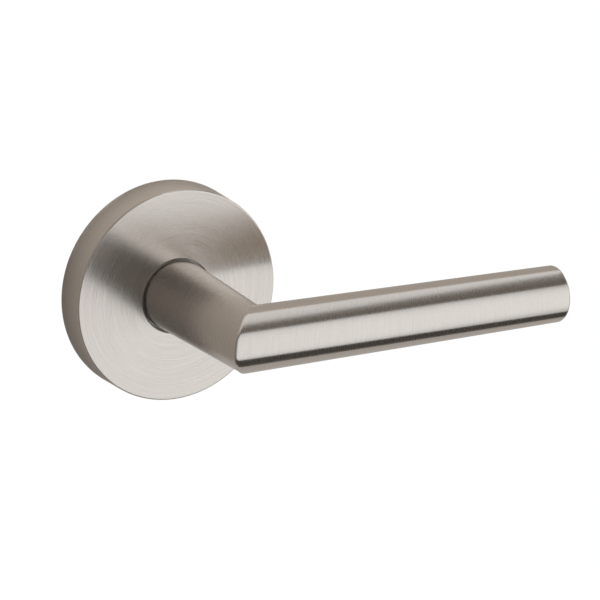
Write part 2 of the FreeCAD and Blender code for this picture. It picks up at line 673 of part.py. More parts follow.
def spring_peg():
    """Fixed peg in the plate's floor that both legs of the spring press against."""
    nose_r, end = "peg_r - post_step / 2", f"{CAM_FRONT} - end_float * 4"
    nose = [("0", "0 - plate_depth"), (nose_r, "0 - plate_depth"), (nose_r, f"0 - {FLOOR_BACK}")]
    peg = turned("spring_peg", nose + [("peg_r", f"0 - {FLOOR_BACK}"), ("peg_r", end), ("0", end)])
    return place(peg, z=f"0 - {PEG_DROP}")


def spindle():
    """Square bar from inside the tang through the door, with chamfered ends and a hole for the cross pin."""
    body = new_body("spindle")
    front = f"({TANG_END} - spindle_set_in)"
    pad(
        body,
        "spindle_bar",
        "XZ_Plane",
        lambda s: centred_square(s, "(square / 2)"),
        f"{front} + spindle_out",
        lift="0 - spindle_out",
    )
    cut_through(body, "spindle_pin_hole", "YZ_Plane", lambda s: circle(s, "pin_r + seat_gap / 2", x=PIN_Y))

    def end_edge(edge):
        ys = [v.Point.y for v in edge.Vertexes]
        straight = isinstance(edge.Curve, Part.Line) and len(ys) == 2 and abs(ys[0] - ys[1]) < 1e-6
        return straight and abs(ys[0]) > size("spindle_out") / 2

    dress(body, "Chamfer", "spindle_noses", end_edge, "spindle_nose")
    return body


def spindle_pin():
    """Cross pin that holds the spindle in the tang."""
    pin = solid("Cylinder", "spindle_pin", Radius="pin_r", Height="2 * (tang_r - tang_gap * 2)")
    return place(pin, x="0 - tang_r + tang_gap * 2", y=PIN_Y, axis=Vector(0, 1, 0), angle=90)


def bolt_post(side, x):
    """Tube staked in the plate's floor that guides a through bolt and stops the cam's lobes."""
    bore, nose_r = "bolt_r + bolt_gap", f"{POST_R} - post_step"
    post = turned(
        "bolt_post_" + side,
        [
            (bore, "0 - plate_depth"),
            (nose_r, "0 - plate_depth"),
            (nose_r, f"0 - {FLOOR_BACK}"),
            (POST_R, f"0 - {FLOOR_BACK}"),
            (POST_R, "spigot_length"),
            (bore, "spigot_length"),
        ],
    )
    return place(post, x=x)


def through_bolt(side, x):
    """Pan head screw from the front of the plate, through its post and the door, to the other side's trim."""
    bolt = turned(
        "through_bolt_" + side,
        [
            ("0", "0 - plate_depth - bolt_head_t"),
            ("bolt_head_r", "0 - plate_depth - bolt_head_t"),
            ("bolt_head_r", "0 - plate_depth"),
            ("bolt_r - bolt_neck", "0 - plate_depth"),
            ("bolt_r - bolt_neck", "spigot_length + thread_start"),
            ("bolt_r", "spigot_length + thread_start"),
            ("bolt_r", "bolt_length - plate_depth"),
            ("0", "bolt_length - plate_depth"),
        ],
    )
    top, end = -size("plate_depth") - size("bolt_head_t"), size("bolt_length") - size("plate_depth")
    dress(bolt, "Fillet", f"bolt_crown_{side}", ring_edge(size("bolt_head_r"), top), "bolt_crown")
    dress(bolt, "Chamfer", f"bolt_nose_{side}", ring_edge(size("bolt_r"), end), "bolt_r / 4")
    w, r = "(cross_slot / 2)", "cross_reach"
    cross = [(w, w), (r, w), (r, f"-{w}"), (w, f"-{w}"), (w, f"-{r}"), (f"-{w}", f"-{r}")]
    cross += [(f"-{w}", f"-{w}"), (f"-{r}", f"-{w}"), (f"-{r}", w), (f"-{w}", w), (f"-{w}", r), (w, r)]
    lift = "plate_depth + bolt_head_t"
    pocket(bolt, f"bolt_cross_{side}", "XZ_Plane", lambda s: polygon(s, cross), "cross_depth", lift=lift)
    return place(bolt, x=x)


def check_document():
    """Stops if any object of the document is in an error or needs another recompute."""
    for thing in doc.Objects:
        if {"Invalid", "Error"} & set(thing.State):
            raise RuntimeError(f"{thing.Label} is {thing.State}")


def export(pieces):
    os.makedirs("parts", exist_ok=True)
    for piece in pieces:
        shape = piece.Shape
        if shape.isNull() or not shape.isValid() or not shape.Solids:
            raise RuntimeError(f"{piece.Label} has no valid solid")
        shape.exportStep(os.path.join("parts", piece.Label + ".step"))
        print(f"{piece.Label:18s} {len(shape.Solids)} solid(s) {shape.Volume / 1000:8.3f} cm3")


sizes = make_sheet()
half_spacing = "bolt_spacing / 2"
PIECES = [
    lever(),
    lever_set_screw(),
    rose_cover(),
    rose_snap_ring(),
    mounting_plate(),
    bearing_sleeve(),
    bush("front_bush", f"0 - {SLEEVE_FRONT}", "-1"),
    bush("rear_bush", SLEEVE_BACK, "1"),
    wave_washer(),
    drive_hub(),
    thrust_washer(),
    return_spring(),
    stop_cam(),
    hub_circlip(),
    spring_peg(),
    spindle(),
    spindle_pin(),
]
for side_name, place_x in (("left", "0 - " + half_spacing), ("right", half_spacing)):
    PIECES += [bolt_post(side_name, place_x), through_bolt(side_name, place_x)]
doc.recompute()
check_document()
export(PIECES)
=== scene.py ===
# %% [markdown]
# # A door lever on a round rose
#
# The object is one side of a door set: a round bar bent once in a crisp mitre, turning in a flat round rose,
# and behind the rose the plate, spring, cam, spindle and bolts that make it work. The exact solids come from
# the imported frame, where one unit is a metre, the door's face is the plane y = 0, the room lies towards -Y
# and the grip points along +X. This lesson gives the solids the finish and the small roundings of the real
# thing.

# %% Load the frame
import json
import math

import bmesh
import bpy
from mathutils import Matrix, Vector


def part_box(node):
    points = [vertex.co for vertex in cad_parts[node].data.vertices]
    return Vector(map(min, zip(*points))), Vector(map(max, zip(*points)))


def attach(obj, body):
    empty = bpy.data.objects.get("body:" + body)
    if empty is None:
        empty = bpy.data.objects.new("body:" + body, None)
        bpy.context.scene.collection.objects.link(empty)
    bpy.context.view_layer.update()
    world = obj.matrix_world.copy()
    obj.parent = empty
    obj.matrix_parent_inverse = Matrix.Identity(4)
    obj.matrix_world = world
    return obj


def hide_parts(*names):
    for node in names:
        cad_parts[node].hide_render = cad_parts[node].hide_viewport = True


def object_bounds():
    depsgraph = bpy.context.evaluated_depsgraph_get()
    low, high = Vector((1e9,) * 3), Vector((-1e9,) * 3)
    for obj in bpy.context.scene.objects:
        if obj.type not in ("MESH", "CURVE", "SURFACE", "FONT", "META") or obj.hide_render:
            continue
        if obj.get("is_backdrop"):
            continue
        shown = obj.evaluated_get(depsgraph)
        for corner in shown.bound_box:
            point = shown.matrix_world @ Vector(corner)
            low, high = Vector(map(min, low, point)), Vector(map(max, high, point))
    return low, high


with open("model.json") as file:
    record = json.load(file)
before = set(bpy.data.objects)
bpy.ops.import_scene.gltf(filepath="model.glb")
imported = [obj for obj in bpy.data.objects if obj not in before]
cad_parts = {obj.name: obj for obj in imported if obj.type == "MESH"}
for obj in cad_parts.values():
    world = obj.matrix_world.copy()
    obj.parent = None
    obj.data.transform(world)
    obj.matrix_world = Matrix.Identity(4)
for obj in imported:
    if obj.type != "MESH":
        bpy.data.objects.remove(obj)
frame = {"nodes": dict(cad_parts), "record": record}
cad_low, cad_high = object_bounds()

MM = 0.001
cad_size = [round((high - low) / MM, 1) for low, high in zip(cad_low, cad_high)]
print("the solids fill a box of", cad_size, "mm")

# %% [markdown]
# ## The camera
#
# A long lens from the upper left flattens the perspective, as in a catalogue. The camera is placed by the
# direction it looks from, given by an azimuth and an elevation, and by the point it looks at, close to the
# middle of the lever. A small roll is the tilt of a hand-set tripod.

# %% Place the camera
CAMERA_AZIMUTH = math.radians(-29.54)
CAMERA_ELEVATION = math.radians(17.56)
CAMERA_ROLL = math.radians(1.51)
CAMERA_DISTANCE = 886.8 * MM
CAMERA_TARGET = Vector((33.9, -25.0, -1.7)) * MM


def direction(azimuth, elevation):
    """The unit vector towards an azimuth, 0 being -Y and positive towards +X, and an elevation."""
    flat = math.cos(elevation)
    return Vector((math.sin(azimuth) * flat, -math.cos(azimuth) * flat, math.sin(elevation)))


def aim(thing, place, target, roll):
    """Puts a camera at a place, looking at a target with its top up, then rolls it."""
    turn = (Vector(target) - Vector(place)).to_track_quat("-Z", "Y").to_matrix().to_4x4()
    thing.matrix_world = Matrix.Translation(place) @ turn @ Matrix.Rotation(roll, 4, "Z")


camera = bpy.data.objects.new("camera", bpy.data.cameras.new("camera"))
camera.data.sensor_width = 36.0
camera.data.lens = 177.8
bpy.context.scene.collection.objects.link(camera)
camera_place = CAMERA_TARGET + CAMERA_DISTANCE * direction(CAMERA_AZIMUTH, CAMERA_ELEVATION)
aim(camera, camera_place, CAMERA_TARGET, roll=CAMERA_ROLL)
bpy.context.scene.camera = camera
print("the camera stands", round(camera_place.length, 3), "m from the spindle")

# %% [markdown]
# ## Arithmetic with nodes
#
# Geometry Nodes and shader nodes both work out numbers with Math nodes. Wiring dozens of them by hand hides
# the rule they follow, so a small class lets a socket be used in ordinary Python arithmetic: every + or *
# adds one Math node and one or two links. The finished tree is the same as one made by hand.


# %% A socket that can be added and multiplied
class Num:
    """A number in a node tree. Arithmetic with it adds Math nodes to the tree."""

    def __init__(self, tree, socket):
        self.tree = tree
        self.socket = socket

    def math(self, operation, *others):
        node = self.tree.nodes.new("ShaderNodeMath")
        node.operation = operation
        for slot, value in zip(node.inputs, (self, *others)):
            plug(self.tree, value, slot)
        return Num(self.tree, node.outputs[0])

    def __add__(self, other):
        return self.math("ADD", other)

    def __sub__(self, other):
        return self.math("SUBTRACT", other)

    def __mul__(self, other):
        return self.math("MULTIPLY", other)

    def __truediv__(self, other):
        return self.math("DIVIDE", other)

    def __neg__(self):
        return self * -1.0

    def __rsub__(self, other):
        return -self + other

    __radd__ = __add__
    __rmul__ = __mul__

    def sin(self):
        return self.math("SINE")

    def cos(self):
        return self.math("COSINE")


def plug(tree, value, slot):
    """Links a Num or a socket to an input, or sets the input to a plain value."""
    if isinstance(value, Num):
        tree.links.new(value.socket, slot)
    elif isinstance(value, bpy.types.NodeSocket):
        tree.links.new(value, slot)
    else:
        slot.default_value = value


def add(tree, kind, settings=None, **inputs):
    """Adds a node, sets its settings and plugs its inputs, which are named with _ for a space."""
    node = tree.nodes.new(kind)
    for name, value in (settings or {}).items():
        setattr(node, name, value)
    for name, value in inputs.items():
        plug(tree, value, node.inputs[name.replace("_", " ")])
    return node


def xyz(tree, x, y, z):
    """A vector made from three numbers."""
    return add(tree, "ShaderNodeCombineXYZ", X=x, Y=y, Z=z).outputs[0]


def split(tree, vector):
    """The three numbers of a vector."""
    node = tree.nodes.new("ShaderNodeSeparateXYZ")
    tree.links.new(vector, node.inputs[0])
    return [Num(tree, output) for output in node.outputs]


def mix(a, b, amount):
    """A number between a and b, all the way to b where amount is 1."""
    return a + (b - a) * amount


print("node arithmetic is ready")

# %% [markdown]
# ## Trees and the meshes they make
#
# Each tree has named inputs for its sizes. A helper makes the tree, and another runs it on an empty mesh,
# sets the inputs by their identifiers, turns the evaluated result into a plain mesh and drops the modifier,
# so that what rides on a body is an ordinary piece with its place in its vertices.


# %% Make a tree and run it
def new_tree(name, *inputs):
    """A geometry tree with number inputs, which come back as Nums in the order of their names."""
    tree = bpy.data.node_groups.new(name, "GeometryNodeTree")
    tree.is_modifier = True
    for title in inputs:
        tree.interface.new_socket(name=title, in_out="INPUT", socket_type="NodeSocketFloat")
    tree.interface.new_socket(name="Geometry", in_out="OUTPUT", socket_type="NodeSocketGeometry")
    start = tree.nodes.new("NodeGroupInput")
    return tree, [Num(tree, start.outputs[title]) for title in inputs]


def end_tree(tree, geometry, material):
    """Closes a tree with Realize Instances and Set Material."""
    real = add(tree, "GeometryNodeRealizeInstances", Geometry=geometry)
    painted = add(tree, "GeometryNodeSetMaterial", Geometry=real.outputs[0], Material=material)
    tree.links.new(painted.outputs[0], tree.nodes.new("NodeGroupOutput").inputs["Geometry"])


def link(piece):
    bpy.context.scene.collection.objects.link(piece)
    return piece


def frozen(piece):
    """Replaces a piece by its evaluated mesh, with no modifier left."""
    evaluated = piece.evaluated_get(bpy.context.evaluated_depsgraph_get())
    mesh = bpy.data.meshes.new_from_object(evaluated)
    piece.modifiers.clear()
    piece.data = mesh
    mesh.name = piece.name
    return piece


def finish_surface(piece):
    """Points the faces outwards, shades them smooth and keeps the sharp edges."""
    mesh = piece.data
    work = bmesh.new()
    work.from_mesh(mesh)
    bmesh.ops.recalc_face_normals(work, faces=work.faces)
    work.to_mesh(mesh)
    work.free()
    mesh.shade_smooth()
    mesh.set_sharp_from_angle(angle=SHARP_ANGLE)
    return piece


def run_tree(name, tree, **sizes):
    """Runs a tree on an empty mesh. Each size is named as its input, with _ for a space."""
    piece = link(bpy.data.objects.new(name, bpy.data.meshes.new(name)))
    modifier = piece.modifiers.new("build", "NODES")
    modifier.node_group = tree
    named = {item.name: item.identifier for item in tree.interface.items_tree if item.in_out == "INPUT"}
    for title, value in sizes.items():
        modifier[named[title.replace("_", " ")]] = float(value)
    return finish_surface(frozen(piece))


def patch(tree, rows, columns, place, scratch):
    """One stretch of a skin, as a grid whose points a rule puts in place.

    place takes how far along the stretch a point is, 0 to 1, and its angle around, and gives x, y, z.
    scratch gives the distance across the brush lines. The angle runs along them.
    """
    settings = {"Vertices_X": columns + 1, "Vertices_Y": rows + 1}
    grid = add(tree, "GeometryNodeMeshGrid", **settings)
    turn, along, _ = split(tree, grid.outputs["UV Map"])
    angle = turn * (2 * math.pi) - math.pi
    position = xyz(tree, *place(along, angle))
    moved = add(tree, "GeometryNodeSetPosition", Geometry=grid.outputs["Mesh"], Position=position)
    across = scratch(along)
    brush = store(tree, moved.outputs[0], "brush", "FLOAT2", xyz(tree, across, turn, 0.0))
    lines = xyz(tree, across, angle.cos() * LINE_RADIUS, angle.sin() * LINE_RADIUS)
    return store(tree, brush, "lines", "FLOAT_VECTOR", lines)


def store(tree, geometry, name, kind, value):
    """Stores a named attribute on the corners of the faces."""
    node = add(
        tree,
        "GeometryNodeStoreNamedAttribute",
        {"data_type": kind, "domain": "CORNER"},
        Geometry=geometry,
        Name=name,
        Value=value,
    )
    return node.outputs[0]


def welded(tree, patches, distance=0.002 * MM):
    """Joins patches and merges the points where they meet."""
    join = tree.nodes.new("GeometryNodeJoinGeometry")
    for piece in patches:
        tree.links.new(piece, join.inputs[0])
    return add(tree, "GeometryNodeMergeByDistance", Geometry=join.outputs[0], Distance=distance).outputs[0]


SHARP_ANGLE = math.radians(32)
LINE_RADIUS = 10 * MM
print("tree helpers are ready")

# %% [markdown]
# ## Brushed satin nickel
#
# The lever and the rose are polished with a belt while they turn, then plated with nickel. The belt leaves
# fine lines that run round each piece. Such lines blur a reflection across them and leave it crisp along
# them, which is what anisotropy does: the highlight is drawn out along the tangent, so the tangent comes
# from a UV map whose U runs across the lines. Noises stretched along the lines stand for the scratches. The
# finest one switches between a smooth and a rough scratch, which gives a highlight a bright core with a wide
# soft skirt. A wider one makes the bump, and it and two slower ones vary the roughness and the colour a
# little, as handling and plating do.

# %% Material helpers
def new_material(name, colour, metallic, roughness, **constants):
    """A Principled material. constants are set on the shader's own sockets."""
    material = bpy.data.materials.new(name)
    material.use_nodes = True
    tree = material.node_tree
    shader = tree.nodes["Principled BSDF"]
    shader.inputs["Base Color"].default_value = (*colour, 1.0)
    shader.inputs["Metallic"].default_value = metallic
    shader.inputs["Roughness"].default_value = roughness
    for title, value in constants.items():
        shader.inputs[title.replace("_", " ")].default_value = value
    return material, tree, shader


def noise(tree, vector, scale, detail=2.0, roughness=0.5, distortion=0.0):
    """A noise between 0 and 1 on a vector."""
    node = add(
        tree,
        "ShaderNodeTexNoise",
        Vector=vector,
        Scale=scale,
        Detail=detail,
        Roughness=roughness,
        Distortion=distortion,
    )
    return Num(tree, node.outputs["Fac"])


def tint(tree, shader, amount, low, high):
    """Base colour that runs from low to high with a number between 0 and 1."""
    ramp = add(tree, "ShaderNodeMix", {"data_type": "RGBA"})
    plug(tree, amount, ramp.inputs[0])
    ramp.inputs[6].default_value = (*low, 1.0)
    ramp.inputs[7].default_value = (*high, 1.0)
    tree.links.new(ramp.outputs[2], shader.inputs["Base Color"])


def bump(tree, shader, height, strength, distance):
    """Bump from a height between 0 and 1 that stands for distance in metres."""
    node = add(tree, "ShaderNodeBump", Strength=strength, Distance=distance, Height=height)
    tree.links.new(node.outputs[0], shader.inputs["Normal"])


def object_coordinates(tree):
    return tree.nodes.new("ShaderNodeTexCoord").outputs["Object"]


# %% Brushed satin nickel
PER_MM = 1000.0


def spread(value, low, high):
    """A noise's middle range stretched to 0..1, because a noise seldom leaves it."""
    return ((value - low) / (high - low)).math("MAXIMUM", 0.0).math("MINIMUM", 1.0)


def satin_nickel(name, anisotropy, finest, coarsest):
    """Nickel with belt lines across the brush map's U.

    anisotropy is how much longer they draw a highlight. finest and coarsest are the roughness of the
    smoothest and the roughest scratches.
    """
    material, tree, shader = new_material(name, (0.65, 0.605, 0.555), 1.0, 0.21, Anisotropic=anisotropy)
    tangent = add(tree, "ShaderNodeTangent", {"direction_type": "UV_MAP", "uv_map": "brush"})
    tree.links.new(tangent.outputs[0], shader.inputs["Tangent"])
    lines = tree.nodes.new("ShaderNodeAttribute")
    lines.attribute_name = "lines"
    across, cosine, sine = split(tree, lines.outputs["Vector"])
    micro = noise(tree, xyz(tree, across * 40.0, cosine * 0.15, sine * 0.15), PER_MM, detail=0.0)
    fine = noise(tree, xyz(tree, across * 2.4, cosine * 0.12, sine * 0.12), PER_MM, detail=3.0)
    coarse = noise(tree, xyz(tree, across * 0.35, cosine * 0.06, sine * 0.06), PER_MM, detail=2.0)
    cloud = noise(tree, object_coordinates(tree), 45.0, detail=3.0, roughness=0.6)
    tone = fine * 0.5 + coarse * 0.3 + cloud * 0.2
    tint(tree, shader, tone, (0.648, 0.6, 0.55), (0.677, 0.628, 0.576))
    scratched = spread(micro, 0.38, 0.62)
    plug(tree, mix(finest, coarsest, scratched) + fine * 0.012 + coarse * 0.006, shader.inputs["Roughness"])
    bump(tree, shader, fine, 0.02, 0.01 * MM)
    return material


nickel = satin_nickel("satin_nickel", 0.9, 0.15, 0.275)
bar_nickel = satin_nickel("satin_nickel_bar", 0.8, 0.15, 0.27)
print("made", nickel.name, "with", len(nickel.node_tree.nodes), "nodes")

# %% [markdown]
# ## The lever
#
# The lever is one casting. Its neck and its grip are slim cones whose axes cross at a right angle, and both
# just enclose one ball where they cross, which is why they meet in a flat mitre. A swept circle can't make
# this corner, because its rounding is far smaller than the bar. So the skin follows a rule instead: every
# straight line of the neck runs to the mitre's plane, bends through a small arc and goes on as a line of the
# grip. The arc is larger at the outside of the corner, where the belt reaches, than at the inside, and the
# casting is a little fuller there. The same tree makes the rounded tip, and at the foot the flat ring and
# the socket for the hub's tang.

# %% Sizes of the lever
AXIS_OUT = 56.1 * MM
JOINT_RADIUS = 9.5 * MM
NECK_TAPER = math.radians(1.75)
GRIP_TAPER = math.radians(0.47)
OUTER_ROUND = 0.8 * MM
OUTER_SWELL = 1.5 * MM
INNER_ROUND = 0.5 * MM
TIP_ROUND = 0.8 * MM
FOOT_OUT = 9.6 * MM
SOCKET_RADIUS = 7.3 * MM
SOCKET_FLAT = 6.1 * MM
SOCKET_END = 35.6 * MM
GRIP_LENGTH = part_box("lever")[1].x
COLUMNS = 192
print("the grip ends", round(GRIP_LENGTH / MM, 2), "mm from the spindle's axis")


# %% The lever's rule
def lever_tree():
    titles = ["Axis out", "Joint radius", "Neck taper", "Grip taper", "Grip length", "Outer round"]
    titles += ["Outer swell", "Inner round", "Tip round", "Foot out"]
    titles += ["Socket radius", "Socket flat", "Socket end"]
    tree, sizes = new_tree("lever_rule", *titles)
    axis_out, joint, neck_taper, grip_taper, length, outer, swell, inner, tip = sizes[:9]
    foot, socket, flat, end = sizes[9:]

    def neck_radius(out):
        return (joint + (axis_out - out) * neck_taper.sin()) / neck_taper.cos()

    def grip_radius(x):
        return (joint - x * grip_taper.sin()) / grip_taper.cos()

    def on_neck(out, angle):
        radius = neck_radius(out)
        return -radius * angle.cos(), -out, radius * angle.sin()

    def on_grip(x, angle):
        radius = grip_radius(x)
        return x, -axis_out - radius * angle.cos(), radius * angle.sin()

    def corner(angle):
        """The mitre's point on the neck's line at an angle: how far out, its place and the grip's angle."""
        slope = grip_taper.cos() / neck_taper.cos()
        shift = joint * (grip_taper.sin() + neck_taper.sin() * slope)
        lean = angle.cos() * neck_taper.sin() / neck_taper.cos()
        back = -(shift + angle.cos() * joint / neck_taper.cos()) / (slope + lean)
        x, y, z = on_neck(axis_out - back, angle)
        return axis_out - back, (x, y, z), z.math("ARCTAN2", -back)

    def bend(angle):
        """The length that the corner's arc takes from each line."""
        return mix(inner, outer, angle.cos() * 0.5 + 0.5)

    def socket_radius(angle):
        return socket.math("MINIMUM", flat / angle.sin().math("ABSOLUTE").math("MAXIMUM", 0.01))

    def socket_floor(along, angle):
        radius = socket_radius(angle) * along
        return -radius * angle.cos(), -end, radius * angle.sin()

    def socket_wall(along, angle):
        radius = socket_radius(angle)
        return -radius * angle.cos(), -mix(end, foot, along), radius * angle.sin()

    def foot_ring(along, angle):
        radius = mix(socket_radius(angle), neck_radius(foot), along)
        return -radius * angle.cos(), -foot, radius * angle.sin()

    def neck(along, angle):
        out, _, _ = corner(angle)
        return on_neck(mix(foot, out - bend(angle), along), angle)

    def elbow(along, angle):
        """A circle's arc as a weighted curve from the neck's line over the corner to the grip's line."""
        out, point, grip_angle = corner(angle)
        start = on_neck(out - bend(angle), angle)
        stop = on_grip(point[0] + bend(angle), grip_angle)
        outward = angle.cos() * 0.5 + 0.5
        point = (point[0] - swell * outward * outward, point[1], point[2])
        rest = 1.0 - along
        weights = (rest * rest, along * rest * math.sqrt(2), along * along)
        total = weights[0] + weights[1] + weights[2]
        blend = [weights[0] * a + weights[1] * b + weights[2] * c for a, b, c in zip(start, point, stop)]
        return [value / total for value in blend]

    def grip(along, angle):
        _, point, grip_angle = corner(angle)
        return on_grip(mix(point[0] + bend(angle), length - tip, along), grip_angle)

    def tip_arc(along, angle):
        _, _, grip_angle = corner(angle)
        swing = along * (math.pi / 2)
        radius = grip_radius(length - tip) - tip + tip * swing.cos()
        x = length - tip + tip * swing.sin()
        return x, -axis_out - radius * grip_angle.cos(), radius * grip_angle.sin()

    def tip_face(along, angle):
        _, _, grip_angle = corner(angle)
        radius = (grip_radius(length - tip) - tip) * (1.0 - along)
        return length, -axis_out - radius * grip_angle.cos(), radius * grip_angle.sin()

    stretches = [
        (socket_floor, 1, lambda along: along * socket),
        (socket_wall, 4, lambda along: along * end),
        (foot_ring, 2, lambda along: along * socket),
        (neck, 48, lambda along: mix(foot, axis_out, along)),
        (elbow, 12, lambda along: axis_out + along * outer),
        (grip, 80, lambda along: axis_out + outer + along * length),
        (tip_arc, 8, lambda along: axis_out + outer + length + along * tip),
        (tip_face, 12, lambda along: axis_out + outer + length + tip + along * joint),
    ]
    patches = [patch(tree, rows, COLUMNS, place, scratch) for place, rows, scratch in stretches]
    end_tree(tree, welded(tree, patches), bar_nickel)
    return tree


lever = run_tree(
    "lever_casting",
    lever_tree(),
    Axis_out=AXIS_OUT,
    Joint_radius=JOINT_RADIUS,
    Neck_taper=NECK_TAPER,
    Grip_taper=GRIP_TAPER,
    Grip_length=GRIP_LENGTH,
    Outer_round=OUTER_ROUND,
    Outer_swell=OUTER_SWELL,
    Inner_round=INNER_ROUND,
    Tip_round=TIP_ROUND,
    Foot_out=FOOT_OUT,
    Socket_radius=SOCKET_RADIUS,
    Socket_flat=SOCKET_FLAT,
    Socket_end=SOCKET_END,
)
print("the lever's skin has", len(lever.data.polygons), "faces")

# %% [markdown]
# The tapped hole for the set screw comes up through the underside of the neck. A turned cutter with a small
# countersink takes it out of the skin, as a drill does out of the casting.


# %% A turned piece from its outline
def turned(name, outline, material, segments, closed=True):
    """Spins an outline of (radius, y) points about the Y axis. closed joins its last point to its first.

    Each face carries the brush UV map and the line coordinates, as the lever's do.
    """
    mesh = bpy.data.meshes.new(name)
    work = bmesh.new()
    brush = work.loops.layers.uv.new("brush")
    lines = work.loops.layers.float_vector.new("lines")
    rings = []
    for radius, y in outline:
        ring = []
        count = 1 if radius == 0.0 else segments
        for step in range(count):
            angle = 2 * math.pi * step / segments
            ring.append(work.verts.new((radius * math.cos(angle), y, radius * math.sin(angle))))
        rings.append(ring)
    across = 0.0
    pairs = list(zip(range(len(outline)), range(1, len(outline))))
    if closed:
        pairs.append((len(outline) - 1, 0))
    for start, stop in pairs:
        length = math.dist(outline[start], outline[stop])
        for step in range(segments):
            corners = [(start, step, 0), (start, step + 1, 0), (stop, step + 1, 1), (stop, step, 1)]
            seen, used = [], []
            for ring, turn, far in corners:
                vertex = rings[ring][turn % len(rings[ring])]
                if vertex not in seen:
                    seen.append(vertex)
                    used.append((turn, far))
            if len(seen) < 3:
                continue
            face = work.faces.new(seen)
            for loop, (turn, far) in zip(face.loops, used):
                angle = 2 * math.pi * turn / segments
                distance = across + far * length
                loop[brush].uv = (distance, turn / segments)
                loop[lines] = (distance, LINE_RADIUS * math.cos(angle), LINE_RADIUS * math.sin(angle))
        across += length
    work.to_mesh(mesh)
    work.free()
    mesh.materials.append(material)
    return finish_surface(link(bpy.data.objects.new(name, mesh)))


def rounded(corners, steps=6, support=0.06 * MM):
    """An outline through (radius, y, round) corners, each round one as an arc between two short straights.

    The straights keep a flat face flat in smooth shading.
    """
    outline = []
    count = len(corners)
    for index, (radius, y, size) in enumerate(corners):
        here = Vector((radius, y))
        if size == 0.0:
            outline.append((radius, y))
            continue
        before = (Vector(corners[index - 1][:2]) - here).normalized()
        after = (Vector(corners[(index + 1) % count][:2]) - here).normalized()
        reach = size / math.tan(before.angle(after) / 2)
        start, stop = here + before * reach, here + after * reach
        centre = here + (before + after).normalized() * math.hypot(size, reach)
        outline.append(tuple(start + before * support))
        swing = (start - centre).angle_signed(stop - centre)
        for step in range(steps + 1):
            spoke = start - centre
            spoke.rotate(Matrix.Rotation(-swing * step / steps, 2))
            outline.append(tuple(centre + spoke))
        outline.append(tuple(stop + after * support))
    return outline


def cut_away(piece, cutter):
    """Takes a cutter out of a piece and throws the cutter away."""
    modifier = piece.modifiers.new("cut", "BOOLEAN")
    modifier.operation = "DIFFERENCE"
    modifier.solver = "EXACT"
    modifier.object = cutter
    frozen(piece)
    bpy.data.objects.remove(cutter)
    return piece


print("turning and cutting helpers are ready")

# %% Drill the set screw's hole
screw_low, screw_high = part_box("lever_set_screw")
screw_centre = (screw_low + screw_high) / 2
HOLE_RADIUS = 2.55 * MM
neck_bottom = -(JOINT_RADIUS + (AXIS_OUT + screw_centre.y) * math.tan(NECK_TAPER))
SINK = 0.35 * MM
inner_end = -SOCKET_FLAT + 1 * MM
outer_end = neck_bottom - 3 * MM
hole_outline = [
    (0.0, inner_end),
    (HOLE_RADIUS, inner_end),
    (HOLE_RADIUS, neck_bottom + SINK),
    (HOLE_RADIUS + 2 * SINK, neck_bottom - SINK),
    (HOLE_RADIUS + 2 * SINK, outer_end),
    (0.0, outer_end),
]
cutter = turned("cutter", hole_outline, bar_nickel, segments=64, closed=False)
cutter.data.transform(Matrix.Translation((0, screw_centre.y, 0)) @ Matrix.Rotation(math.pi / 2, 4, "X"))
cut_away(lever, cutter)
finish_surface(lever)
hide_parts("lever")
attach(lever, "lever")
print("after drilling it has", len(lever.data.polygons), "faces")

# %% [markdown]
# ## The rose
#
# The rose is a shallow cap with a flat face, turned on a lathe. Its outline is a closed loop that is spun
# about the spindle's axis. The front edge and the lip of the hole are rounded just enough to catch a thin
# line of light, and inside its wall lies the groove for the snap ring.

# %% Turn the rose
rose_low, rose_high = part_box("rose_cover")
ROSE_RADIUS = rose_high.x
ROSE_FRONT = rose_low.y
ROSE_DRAFT = 0.4 * MM
ROSE_BORE = 11.446 * MM
ROSE_WALL = 1.9 * MM
ROSE_FACE = 1.7 * MM
SNAP_Y = -2.2 * MM
GROOVE_HALF = 0.7 * MM
GROOVE_RADIUS = 31.55 * MM
rose_inner = ROSE_RADIUS - ROSE_WALL
rose_outline = rounded(
    [
        (ROSE_BORE, ROSE_FRONT, 0.45 * MM),
        (ROSE_RADIUS - ROSE_DRAFT, ROSE_FRONT, 0.45 * MM),
        (ROSE_RADIUS, 0.0, 0.15 * MM),
        (rose_inner, 0.0, 0.2 * MM),
        (rose_inner, SNAP_Y + GROOVE_HALF, 0.0),
        (GROOVE_RADIUS, SNAP_Y + GROOVE_HALF, 0.0),
        (GROOVE_RADIUS, SNAP_Y - GROOVE_HALF, 0.0),
        (rose_inner, SNAP_Y - GROOVE_HALF, 0.0),
        (rose_inner, ROSE_FRONT + ROSE_FACE, 0.4 * MM),
        (ROSE_BORE, ROSE_FRONT + ROSE_FACE, 0.1 * MM),
    ]
)
rose = turned("rose_cap", rose_outline, nickel, segments=256)
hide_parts("rose_cover")
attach(rose, "rose")
print("the rose's outline has", len(rose_outline), "points")

# %% [markdown]
# ## Screws with real threads
#
# A thread is a ridge that climbs a fixed step each turn, so it is made by a rule: a grid is wrapped round
# the rod with a shear of one pitch per turn, and each row's place in the pitch says whether it is a root or
# a crest. Rows that would pass either end are held there, where the ridge fades out, and merging closes the
# skin. The head and the plain shank are turned, and the sockets for the keys are cut out of them.

# %% The thread's rule
ROWS_A_PITCH = 4


